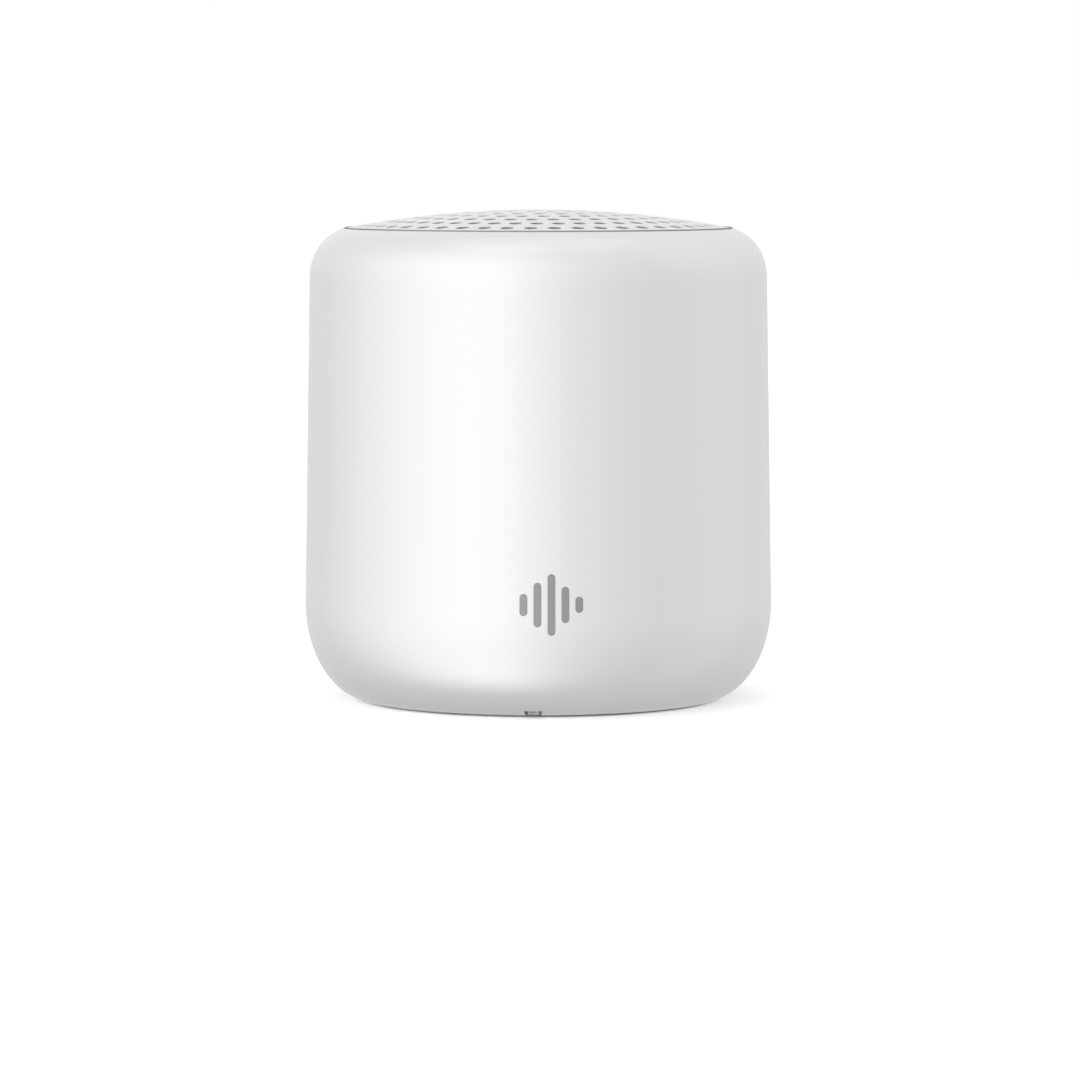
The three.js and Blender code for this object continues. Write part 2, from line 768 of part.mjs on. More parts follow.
function makeBaseCover() {
  const spigot = ledgeRadius - fit;
  const dishRadius = legCircle - screwHeadRadius - dishWall;
  const grooveRadius = baseRadius - footWidth - fit;
  const cover = turn(
    [
      [0, baseRecess],
      [grooveRadius, baseRecess],
      [grooveRadius, footHeight + rest],
      [baseRadius, footHeight + rest],
      [baseRadius, coverTopZ],
      [spigot, coverTopZ],
      [spigot, ledgeTopZ],
      [dishRadius, ledgeTopZ],
      [dishRadius, baseRecess + baseFloor],
      [0, baseRecess + baseFloor],
    ],
    shellSides,
  );
  const posts = [0, 90, 180, 270].map((angle) => {
    const [x, y] = onCircle(dishRadius + postRadius / 2, angle);
    return disc(postRadius, ledgeTopZ - 2 * sink, boardLift - rest, 10).translate(x, y, 0);
  });
  const screwCuts = legAngles.flatMap((angle) => {
    const [x, y] = onCircle(legCircle, angle);
    return [
      disc(screwHeadRadius + fit, footHeight - sink, screwSeatZ, 12).translate(x, y, 0),
      disc(screwRadius + 2 * rest, footHeight, ledgeTopZ + sink, 12).translate(x, y, 0),
    ];
  });
  return cut(join(cover, ...posts), ...screwCuts);
}

function makeFoot() {
  const inner = baseRadius - footWidth;
  return turn(
    [
      [inner, 0],
      [baseRadius - footBevel, 0],
      [baseRadius, footBevel],
      [baseRadius, footHeight],
      [inner, footHeight],
      [inner, 0],
    ],
    shellSides,
  );
}

function makeScrew() {
  const headZ = -rest - screwHeadHeight;
  const blank = turn(
    [
      [0, headZ],
      [screwHeadRadius - 0.2, headZ],
      [screwHeadRadius, headZ + 0.2],
      [screwHeadRadius, -rest],
      [screwRadius, -rest],
      [screwRadius, screwLength - screwRadius / 2],
      [screwRadius / 2, screwLength],
      [0, screwLength],
    ],
    10,
  );
  const { width, length, depth } = driveSlot;
  const low = headZ - sink;
  const slots = [
    block(length, width, depth + sink, 0, 0, low),
    block(width, length, depth + sink, 0, 0, low),
  ];
  return cut(blank, ...slots);
}

// ---------------------------------------------------------------- circuit board

function makeBoard() {
  const round = disc(boardRadius, boardLift, boardTopZ, 32);
  const rearReach = portMouthY - portOverhang;
  const rear = block(2 * tongueHalfWidth, rearReach, boardThickness, 0, rearReach / 2, boardLift);
  const frontReach = guideMiddle + lightBoardMargin;
  const front = aboutZ(
    block(lightBoardWidth, frontReach, boardThickness, 0, -frontReach / 2, boardLift), slotAngle,
  );
  const scallops = legAngles.map((angle) => {
    const [x, y] = onCircle(legCircle, angle);
    return disc(legRadius + turned, boardLift - 1, boardTopZ + 1, 12).translate(x, y, 0);
  });
  return cut(join(round, rear, front), ...scallops);
}

function makePortShell() {
  const outside = roundedBar(portWidth, portHeight, portBackY, portMouthY, portZ);
  const inside = roundedBar(
    portWidth - 2 * portWall, portHeight - 2 * portWall, portBackY + portWall, portMouthY + 1, portZ,
  );
  return cut(outside, inside);
}

function makePortBlade() {
  const back = portBackY + portWall + rest;
  const inset = 2 * (portWall + rest);
  const root = roundedBar(portWidth - inset, portHeight - inset, back, back + blade.root, portZ);
  const tongueY = back + blade.root - sink + blade.length / 2;
  const tongue = block(
    blade.width, blade.length, blade.thickness, 0, tongueY, portZ - blade.thickness / 2,
  );
  return join(root, tongue);
}

// ---------------------------------------------------------------- button, microphone, indicator

function makeButton() {
  const capTop = outerRadius(controlZ) + buttonProud;
  const flangeFront = flangeBackX + buttonFlangeThickness;
  const button = turn(
    [
      [0, stemEndX],
      [stemRadius, stemEndX],
      [stemRadius, flangeBackX],
      [buttonRadius + buttonFlange, flangeBackX],
      [buttonRadius + buttonFlange, flangeFront],
      [buttonRadius, flangeFront],
      [buttonRadius, capTop - buttonCrown],
      [buttonRadius - buttonCrown, capTop - rest],
      [0, capTop],
    ],
    24,
  );
  return button.rotateY(Math.PI / 2).translate(0, 0, controlZ);
}

function makeSwitchBody() {
  const body = block(
    switchBody.depth, switchBody.width, switchBody.height, switchFrontX - switchBody.depth / 2, 0, partLow,
  );
  const bore = barX(plungerRadius + fit, switchBoreX, switchFrontX + sink, controlZ, 12);
  return cut(body, bore);
}

function makePlunger() {
  const start = switchBoreX + buttonTravel + fit;
  return barX(plungerRadius, start, switchFrontX + plungerReach, controlZ, 12);
}

function makeBoot() {
  const outer = microphoneRadius + bootWall;
  const tube = soundHoleRadius + 2 * rest;
  const capsuleEnd = capsuleStartX + microphoneDepth + rest;
  const boot = turn(
    [
      [microphoneRadius + rest, bootStartX],
      [outer, bootStartX],
      [outer, capsuleEnd + bootWall],
      [outer - bootTaper, bootEndX],
      [tube, bootEndX],
      [tube, capsuleEnd],
      [microphoneRadius + rest, capsuleEnd],
      [microphoneRadius + rest, bootStartX],
    ],
    16,
  );
  return boot.rotateY(Math.PI / 2).translate(0, 0, controlZ);
}

function makeLightGuide() {
  const toeZ = footDrop + 2 * rest;
  const stemZ = toeZ + rest;
  const toe = block(
    guideWidth, guideDepth + guideToe.reach, guideToe.height, 0, -guideMiddle - guideToe.reach / 2, toeZ,
  );
  const stem = block(guideWidth, guideDepth, lightZ - lightGap - stemZ, 0, -guideMiddle, stemZ);
  const head = block(guideHead.width, guideHead.depth, guideHead.height, 0, -guideMiddle, ledgeTopZ + rest);
  return join(toe, stem, head);
}

// ---------------------------------------------------------------- plugs and leads

function makeHeader() {
  const wallSize = 2 * headerWall;
  const outer = block(plug.width + wallSize, plug.depth + wallSize, headerHeight, 0, 0, partLow);
  const well = block(plug.width + 2 * fit, plug.depth + 2 * fit, headerHeight, 0, 0, partLow + headerFloor);
  return cut(outer, well);
}

function makePlug() {
  return block(plug.width, plug.depth, plug.height, 0, 0, plugZ);
}

// From the plug up through the tray's rear notch to the driver's terminals. side is 1 or -1.
function makeSpeakerLead(side) {
  const backY = terminalY + terminal.thickness + leadRadius + 2 * rest;
  const points = [
    [side * leadPitch / 2, speakerPlugY, leadStartZ],
    [side * leadPitch / 2, speakerPlugY + 0.2, leadStartZ + 1.1],
    [side * 1.4, notchLine - 1.2, trayZ - 0.8],
    [side * 1.6, notchLine, trayTopZ + 2],
    [side * 2.0, notchLine, (trayTopZ + plateSeatZ) / 2],
    [side * 2.2, backY, plateSeatZ - 2],
    [side * 2.2, backY, plateSeatZ + 2.6],
  ];
  return lead(points, leadRadius, 14);
}

// From the battery's protection board down through the tray's side notch to the plug.
function makeBatteryLead(side) {
  const startX = protectionX + protection.thickness + fit;
  const points = [
    [startX, side * 2.0, batteryZ + 3.6],
    [startX + 0.65, side * 1.9, batteryZ + 3.4],
    [notchLine, side * 1.6, batteryZ + 1.8],
    [notchLine, side * 1.3, trayZ + 0.6],
    [notchLine - 1.2, side * 1.1, trayZ - 0.9],
    [batteryPlugX + 0.5, side * leadPitch / 2, leadStartZ + 1.2],
    [batteryPlugX, side * leadPitch / 2, leadStartZ + rest],
  ];
  return lead(points, leadRadius, 12);
}

// From a terminal through the basket's rear window to the underside of the cone.
function makeTinselLead(side) {
  const points = [
    [side * 2.6, terminalY - rest, coneFootZ + 0.9],
    [side * 2.5, terminalY - 2.4, coneFootZ + 1.3],
    [side * 2.4, (terminalY + formerOuter) / 2, coneFootZ + 0.9],
    [side * 2.3, formerOuter + 1.8, coneFootZ + 0.35],
  ];
  return lead(points, tinselRadius, 8);
}

// ---------------------------------------------------------------- assembly

place('outer_shell', makeShell(), '#f2f2f3', 0.28, 0.0);
place('grille', makeGrille(), '#f1f1f1', 0.42, 0.1);
place('grille_carrier', makeCarrier(), '#dcdcdd', 0.6, 0.0);
place('grille_gasket', makeGasket(), '#8d8d8f', 0.8, 0.0);
place('grille_cloth', makeCloth(), '#8a8b8d', 0.95, 0.0);

place('driver_frame', makeDriverFrame(), '#2b2c2e', 0.5, 0.6);
place(
  'driver_gasket',
  ring(flangeBore + 0.6, flangeRadius, driverSeatTopZ + rest, flangeZ - rest, roundSides),
  '#3a3a3a', 0.95, 0.0,
);
place('surround', makeSurround(), '#1d1d1f', 0.75, 0.0);
place('cone', makeCone(), '#26272a', 0.85, 0.0);
place('dust_cap', makeDustCap(), '#2f3033', 0.6, 0.0);
place(
  'voice_coil_former',
  ring(formerInner, formerOuter, coilZ - 0.2, formerTopZ, roundSides),
  '#c8a05a', 0.5, 0.0,
);
place(
  'voice_coil',
  ring(formerOuter + lacquer, coilOuter, coilZ, coilZ + coilHeight, roundSides),
  '#b5672d', 0.35, 0.9,
);
place('spider', makeSpider(), '#c9b48a', 0.9, 0.0);
place(
  'top_plate',
  ring(coilOuter + coilGap, topPlateRadius, topPlateZ, topPlateZ + topPlateThickness, roundSides),
  '#b9bcc0', 0.35, 1.0,
);
place(
  'magnet',
  ring(coilOuter + coilGap + 1.2, magnetRadius, magnetZ, magnetZ + magnetThickness, roundSides),
  '#3b3b3d', 0.6, 0.2,
);
place('yoke', makeYoke(), '#b9bcc0', 0.35, 1.0);
place('terminal_board', makeTerminalBoard(), '#b98a4a', 0.6, 0.0);

place('inner_chassis', makeChassis(), '#c9cacc', 0.6, 0.0);
place(
  'battery_pad',
  block(pad.length, pad.width, padThickness, 0, 0, trayTopZ + rest),
  '#2a2a2a', 0.95, 0.0,
);
place('battery_cell', makeBattery(), '#c3c6ca', 0.35, 0.6);
place(
  'battery_protection_board',
  block(
    protection.thickness, protection.width, protection.height, protectionX + protection.thickness / 2, 0,
    batteryZ + protection.lift,
  ),
  '#1f6b3a', 0.5, 0.0,
);

place('main_board', makeBoard(), '#1c5a36', 0.5, 0.0);
for (const { name, size, at, finish } of boardParts) {
  place(name, block(...size, ...at, partLow), ...finish);
}
for (const [name, side] of [['left', -1], ['right', 1]]) {
  const can = disc(capacitor.radius, partLow, partLow + capacitor.height, 16);
  place(
    `filter_capacitor_${name}`, can.translate(side * capacitor.x, capacitor.y, 0), '#aeb2b8', 0.35, 0.9,
  );
}

place('charge_socket_shell', makePortShell(), '#c4c7cb', 0.3, 1.0);
place('charge_socket_tongue', makePortBlade(), '#1a1a1b', 0.6, 0.0);

place('switch_body', makeSwitchBody(), '#2a2a2c', 0.5, 0.0, controls);
place('switch_plunger', makePlunger(), '#8f1f1f', 0.5, 0.0, controls);
place('power_button', makeButton(), '#e9e9ea', 0.45, 0.0, controls);

place(
  'microphone',
  barX(microphoneRadius, capsuleStartX, capsuleStartX + microphoneDepth, controlZ),
  '#b6b9bd', 0.35, 0.9, listening,
);
place('microphone_boot', makeBoot(), '#232325', 0.9, 0.0, listening);

place('light_guide', makeLightGuide(), '#d9dadb', 0.25, 0.0, indicator);
place(
  'status_light',
  block(lightSize.width, lightSize.depth, lightSize.height, 0, -guideMiddle, lightZ),
  '#f4f0dc', 0.4, 0.0, indicator,
);

place('speaker_header', makeHeader().translate(0, speakerPlugY, 0), '#e8e2d0', 0.6, 0.0);
place('speaker_plug', makePlug().translate(0, speakerPlugY, 0), '#f0ede2', 0.6, 0.0);
place('battery_header', aboutZ(makeHeader(), 90).translate(batteryPlugX, 0, 0), '#e8e2d0', 0.6, 0.0);
place('battery_plug', aboutZ(makePlug(), 90).translate(batteryPlugX, 0, 0), '#f0ede2', 0.6, 0.0);
for (const [name, side, color] of [['red', 1, '#b3261e'], ['black', -1, '#1a1a1a']]) {
  place(`speaker_lead_${name}`, makeSpeakerLead(side), color, 0.5, 0.0);
  place(`battery_lead_${name}`, makeBatteryLead(side), color, 0.5, 0.0);
  place(`tinsel_lead_${name}`, makeTinselLead(side), '#c98a4b', 0.4, 0.8);
}

place('base_cover', makeBaseCover(), '#e4e4e5', 0.5, 0.0);
place('foot_ring', makeFoot(), '#6f7072', 0.9, 0.0);
for (const [index, angle] of legAngles.entries()) {
  const [x, y] = onCircle(legCircle, angle);
  const screw = makeScrew().translate(x, y, screwSeatZ);
  place(`base_screw_${index + 1}`, screw, '#a9acb0', 0.35, 1.0);
}

export default speaker;
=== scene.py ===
import json
import math

import bmesh
import bpy
from mathutils import Matrix, Vector


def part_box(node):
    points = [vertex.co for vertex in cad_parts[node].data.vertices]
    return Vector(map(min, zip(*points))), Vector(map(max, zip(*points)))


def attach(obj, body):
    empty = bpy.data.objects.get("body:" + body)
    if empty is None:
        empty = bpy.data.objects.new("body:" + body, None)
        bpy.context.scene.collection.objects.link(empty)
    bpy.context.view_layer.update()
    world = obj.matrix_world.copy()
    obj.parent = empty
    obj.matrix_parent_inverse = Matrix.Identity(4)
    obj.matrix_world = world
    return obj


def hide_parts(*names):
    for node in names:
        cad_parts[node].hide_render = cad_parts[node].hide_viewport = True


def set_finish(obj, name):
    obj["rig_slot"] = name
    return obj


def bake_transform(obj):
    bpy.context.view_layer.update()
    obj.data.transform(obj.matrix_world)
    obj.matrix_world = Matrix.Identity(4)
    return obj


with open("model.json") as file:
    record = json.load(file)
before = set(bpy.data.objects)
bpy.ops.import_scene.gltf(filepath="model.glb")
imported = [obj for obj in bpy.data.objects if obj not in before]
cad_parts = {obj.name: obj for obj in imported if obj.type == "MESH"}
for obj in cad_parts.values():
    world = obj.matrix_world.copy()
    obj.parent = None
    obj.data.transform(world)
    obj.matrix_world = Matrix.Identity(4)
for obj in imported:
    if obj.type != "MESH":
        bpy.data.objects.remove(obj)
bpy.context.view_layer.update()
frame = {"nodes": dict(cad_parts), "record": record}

# Looks of a palm-sized speaker: a gloss white round shell with a domed perforated grille on top.
# Lengths are in millimetres until a piece is finished, and angles about Z are in degrees.
MM = 0.001
FULL_TURN = 2 * math.pi

# ---------------------------------------------------------------- sizes

# Shell
CORNER_RUN = 6.48
CORNER_HEIGHT = 9.89
WALL_DRAFT = 0.52
SHOULDER_RUN = 6.76
SHOULDER_RISE = 6.14
SHOULDER_FULLNESS = 2.42
SHELL_HEIGHT = 48.76
MOUTH_INSET = 3.54
WALL = 1.6
LIP_WALL = 0.42
LEDGE_WIDTH = 1.45
LEDGE_BOTTOM = 2.0
LEDGE_TOP = 3.2
LEDGE_FILLET = 0.5
BORE_DEPTH = 6.3
SHELL_FOOT = 0.25
NOTCH_TOP = 0.78
NOTCH_WIDTH = 1.74
NOTCH_ANGLE = 268.5

# Openings in the side wall
WINDOW_FOOT = 4.6
WINDOW_STEP = 0.5
WINDOW_STEPS = 20
EDGE_ROUND = 0.16
CONTROL_Z = 9.6
BUTTON_ANGLE = 58
BUTTON_HOLE = 3.3
MICROPHONE_ANGLE = 122
SOUND_HOLE = 0.6
SOCKET_ANGLE = 90
SOCKET_CUT_RADIUS = 1.91
SOCKET_CUT_REACH = 2.89
BUTTON_SPAN = 11.25
SOCKET_SPAN = 15.5
SOUND_SPAN = 3.6

# Grille
HOLE_RADIUS = 0.65
RING_PITCH = 2.56
HOLE_PITCH = 2.154
RIM_HOLE_PITCH = 2.346
RING_STAGGER = (0, 0, -0.38, 0.06, 0.25, -0.29, -0.06, -0.31)
RINGS = 8
PLATE = 0.7
DOME_RISE = 1.84
CELL_DEPTH = 1.0
HOLE_EDGE = 0.09
RIM_LAND = (19.25, 19.42)
RIM_ROUND = ((19.53, 0.02), (19.585, 0.07))
RIM_DROP = 0.15
SEAL_WIDTH = 0.3
CLOTH_THICKNESS = 0.2

# Base and foot
FOOT_WIDTH = 5.4
FIT = 0.15
REST = 0.05
BASE_FLOOR = 1.2
RIB_RADIUS = 13.5
POST_OUT = 0.6
POST_RADIUS = 1.2
POST_SUNK = 0.4

# Button and socket
BUTTON_RADIUS = 3.0
BUTTON_CROWN = 0.08
BUTTON_PROUD = 0.1
BUTTON_EDGE = 0.28
STEM_RADIUS = 1.2
STEM_LENGTH = 1.05
FLANGE_RADIUS = 3.9
FLANGE_THICKNESS = 0.7
SOCKET_WALL = 0.3

# Surround, spider and leads, which flex with the cone
SECTORS = 24
SECTOR_STEPS = 8
SURROUND_SKIN = 0.3
SURROUND_LIP = 1.0
SURROUND_OVERLAP = 0.25
SPIDER_SKIN = 0.25
SPIDER_WAVES = 3
BRAID_RADIUS = 0.25
BRAID_GROOVE = 0.05
BRAID_STRANDS = 4
BRAID_TWISTS = 9

# Printed mark
MARK_ANGLE = 273.1
MARK_Z = 11.75
MARK_PITCH = 1.38
MARK_BAR = 0.78
MARK_HEIGHTS = (2.2, 4.4, 6.1, 3.6, 1.6)
INK = 0.012
INK_ROOT = 0.05

shell_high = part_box("outer_shell")[1] / MM
grille_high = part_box("grille")[1] / MM
BODY_RADIUS = shell_high.x
SHOULDER_RADIUS = BODY_RADIUS - WALL_DRAFT
SHOULDER_Z = SHELL_HEIGHT - SHOULDER_RISE
BORE_RADIUS = SHOULDER_RADIUS - MOUTH_INSET
FLAT_RADIUS = BODY_RADIUS - CORNER_RUN
MOUTH_Z = shell_high.z
GRILLE_RADIUS = grille_high.x
DOME_TOP = grille_high.z
DOME_SPHERE = (GRILLE_RADIUS ** 2 + DOME_RISE ** 2) / (2 * DOME_RISE)


def wall_radius(z):
    if z < CORNER_HEIGHT:
        drop = (CORNER_HEIGHT - z) / CORNER_HEIGHT
        return FLAT_RADIUS + CORNER_RUN * math.sqrt(1 - drop * drop)
    return BODY_RADIUS - WALL_DRAFT * min(1, (z - CORNER_HEIGHT) / (SHOULDER_Z - CORNER_HEIGHT))


def inner_radius(z):
    if z < CORNER_HEIGHT:
        drop = (CORNER_HEIGHT - z) / (CORNER_HEIGHT - WALL)
        return FLAT_RADIUS + (CORNER_RUN - WALL) * math.sqrt(1 - drop * drop)
    return wall_radius(z) - WALL


def dome_z(radius):
    return DOME_TOP - DOME_SPHERE + math.sqrt(DOME_SPHERE ** 2 - radius ** 2)


# ---------------------------------------------------------------- shader node groups


def node(tree, kind, links=None, **settings):
    """Adds a node. links gives each input a value or the socket that feeds it."""
    made = tree.nodes.new(kind)
    for key, value in settings.items():
        setattr(made, key, value)
    for key, value in (links or {}).items():
        if isinstance(value, bpy.types.NodeSocket):
            tree.links.new(value, made.inputs[key])
        else:
            made.inputs[key].default_value = value
    return made


def math_node(tree, operation, *values):
    return node(tree, "ShaderNodeMath", dict(enumerate(values)), operation=operation).outputs[0]


def start_group(name, inputs, outputs):
    """A shader node group with number inputs, given with their defaults, and named outputs."""
    group = bpy.data.node_groups.new(name, "ShaderNodeTree")
    for label, default in inputs.items():
        socket = group.interface.new_socket(name=label, in_out="INPUT", socket_type="NodeSocketFloat")
        socket.default_value = default
    for label in outputs:
        group.interface.new_socket(name=label, in_out="OUTPUT", socket_type="NodeSocketFloat")
    entry = group.nodes.new("NodeGroupInput")
    exit_node = group.nodes.new("NodeGroupOutput")
    place = node(group, "ShaderNodeTexCoord").outputs["Object"]
    return group, entry.outputs, exit_node.inputs, place


def noise(tree, place, scale, detail=2.0, roughness=0.5, distortion=0.0):
    links = {
        "Vector": place, "Scale": scale, "Detail": detail, "Roughness": roughness,
        "Distortion": distortion,
    }
    return node(tree, "ShaderNodeTexNoise", links).outputs[0]


def make_mottle():
    """Soft uneven patches between two values."""
    group, given, result, place = start_group(
        "Mottle", {"Scale": 100.0, "Low": 0.0, "High": 1.0}, ["Value"],
    )
    patches = noise(group, place, given["Scale"], detail=4.0, roughness=0.6)
    ranged = node(group, "ShaderNodeMapRange", {
        "Value": patches, "From Min": 0.3, "From Max": 0.7,
        "To Min": given["Low"], "To Max": given["High"],
    })
    group.links.new(ranged.outputs[0], result["Value"])
    return group


def make_grain():
    """Moulded or sprayed skin: a fine grain on slow waves."""
    group, given, result, place = start_group(
        "Moulded grain", {"Grain": 4000.0, "Waves": 300.0, "Wave Share": 0.5}, ["Height"],
    )
    fine = noise(group, place, given["Grain"], detail=3.0)
    slow = noise(group, place, given["Waves"], detail=1.0)
    blended = node(group, "ShaderNodeMix", {0: given["Wave Share"], 2: fine, 3: slow}, data_type="FLOAT")
    group.links.new(blended.outputs[0], result["Height"])
    return group


def make_weave():
    """Plain weave seen from above: threads along X and Y that take turns on top."""
    group, given, result, place = start_group("Plain weave", {"Threads": 3000.0}, ["Height", "Value"])
    split = node(group, "ShaderNodeSeparateXYZ", {0: place})
    half_turns = math_node(group, "MULTIPLY", given["Threads"], math.pi)
    across = math_node(group, "SINE", math_node(group, "MULTIPLY", split.outputs[0], half_turns))
    along = math_node(group, "SINE", math_node(group, "MULTIPLY", split.outputs[1], half_turns))
    turns = math_node(group, "MULTIPLY", across, along)
    over = math_node(group, "MULTIPLY_ADD", turns, 0.5, 0.5)
    warp = math_node(group, "MULTIPLY", math_node(group, "ABSOLUTE", across), over)
    weft = math_node(
        group, "MULTIPLY", math_node(group, "ABSOLUTE", along), math_node(group, "SUBTRACT", 1.0, over),
    )
    height = math_node(group, "MAXIMUM", warp, weft)
    group.links.new(height, result["Height"])
    group.links.new(height, result["Value"])
    return group


def make_brushed():
    """Fine drawn lines along Z."""
    group, given, result, place = start_group("Drawn lines", {"Lines": 6000.0}, ["Height", "Value"])
    along_z = (1.0, 1.0, 0.04)
    stretched = node(group, "ShaderNodeVectorMath", {0: place, 1: along_z}, operation="MULTIPLY")
    lines = noise(group, stretched.outputs[0], given["Lines"], detail=4.0, roughness=0.7)
    group.links.new(lines, result["Height"])
    group.links.new(lines, result["Value"])
    return group


def make_speckle():
    """Small scattered specks."""
    group, given, result, place = start_group(
        "Specks", {"Scale": 2500.0, "Size": 0.2}, ["Height", "Value"],
    )
    cells = node(group, "ShaderNodeTexVoronoi", {"Vector": place, "Scale": given["Scale"]})
    specks = math_node(group, "LESS_THAN", cells.outputs["Distance"], given["Size"])
    group.links.new(cells.outputs["Distance"], result["Height"])
    group.links.new(specks, result["Value"])
    return group


def make_winding():
    """Turns of wire or pressed rings that repeat along Z."""
    group, given, result, place = start_group("Turns of wire", {"Pitch": 0.0002}, ["Height", "Value"])
    height = node(group, "ShaderNodeSeparateXYZ", {0: place}).outputs[2]
    turn = math_node(group, "MULTIPLY", math_node(group, "DIVIDE", height, given["Pitch"]), FULL_TURN)
    crest = math_node(group, "MULTIPLY_ADD", math_node(group, "SINE", turn), 0.5, 0.5)
    group.links.new(crest, result["Height"])
    group.links.new(crest, result["Value"])
    return group


def make_fibre():
    """Pressed pulp: short tangled fibres."""
    group, given, result, place = start_group("Pulp", {"Scale": 1500.0}, ["Height", "Value"])
    tangle = noise(group, place, given["Scale"], detail=6.0, roughness=0.75, distortion=2.5)
    group.links.new(tangle, result["Height"])
    group.links.new(tangle, result["Value"])
    return group


def make_tracks():
    """Raised copper tracks under the solder mask of a circuit board."""
    group, given, result, place = start_group(
        "Tracks", {"Scale": 420.0, "Width": 0.12}, ["Height", "Value"],
    )
    cells = node(
        group, "ShaderNodeTexVoronoi", {"Vector": place, "Scale": given["Scale"]}, distance="MANHATTAN",
        feature="F2",
    )
    nearest = node(
        group, "ShaderNodeTexVoronoi", {"Vector": place, "Scale": given["Scale"]}, distance="MANHATTAN",
    )
    edge = math_node(group, "SUBTRACT", cells.outputs["Distance"], nearest.outputs["Distance"])
    track = math_node(group, "LESS_THAN", edge, given["Width"])
    group.links.new(track, result["Height"])
    group.links.new(track, result["Value"])
    return group


groups = {
    "mottle": make_mottle(),
    "grain": make_grain(),
    "weave": make_weave(),
    "brushed": make_brushed(),
    "specks": make_speckle(),
    "winding": make_winding(),
    "fibre": make_fibre(),
    "tracks": make_tracks(),
}

# ---------------------------------------------------------------- materials

base_colours = {entry["slot"]: entry["base_color"] for entry in frame["record"]["materials"]}


def use_group(tree, name, values):
    made = node(tree, "ShaderNodeGroup", node_tree=groups[name])
    for key, value in values.items():
        made.inputs[key].default_value = value
    return made.outputs


def make_finish(
    slot, shade=0.9, patches=80.0, rough=(0.4, 0.5), rough_scale=600.0, relief="grain", values=None,
    depth=4e-6, accent=None, colour=None, **sockets,
):
    """A moulded, sprayed, drawn or woven finish. Its colour drifts between the slot's own and that
    times shade, and accent is a colour that the relief's mask lays over it. sockets are plain
    values on the shader."""
    finish = bpy.data.materials.new(slot)
    finish.use_nodes = True
    tree = finish.node_tree
    shader = tree.nodes["Principled BSDF"]
    own = colour or base_colours[slot]
    tone = use_group(tree, "mottle", {"Scale": patches})["Value"]
    colours = node(tree, "ShaderNodeMix", {
        0: tone, 6: (*own, 1.0), 7: (*(channel * shade for channel in own), 1.0),
    }, data_type="RGBA").outputs[2]
    texture = use_group(tree, relief, values or {})
    if accent:
        colours = node(tree, "ShaderNodeMix", {
            0: texture["Value"], 6: colours, 7: (*accent, 1.0),
        }, data_type="RGBA").outputs[2]
    tree.links.new(colours, shader.inputs["Base Color"])
    roughness = use_group(tree, "mottle", {"Scale": rough_scale, "Low": rough[0], "High": rough[1]})
    tree.links.new(roughness["Value"], shader.inputs["Roughness"])
    bump = node(tree, "ShaderNodeBump", {
        "Height": texture["Height"], "Distance": depth, "Strength": 1.0,
    })
    tree.links.new(bump.outputs["Normal"], shader.inputs["Normal"])
    for name, value in sockets.items():
        shader.inputs[name.replace("_", " ").title().replace("Ior", "IOR")].default_value = value
    return finish


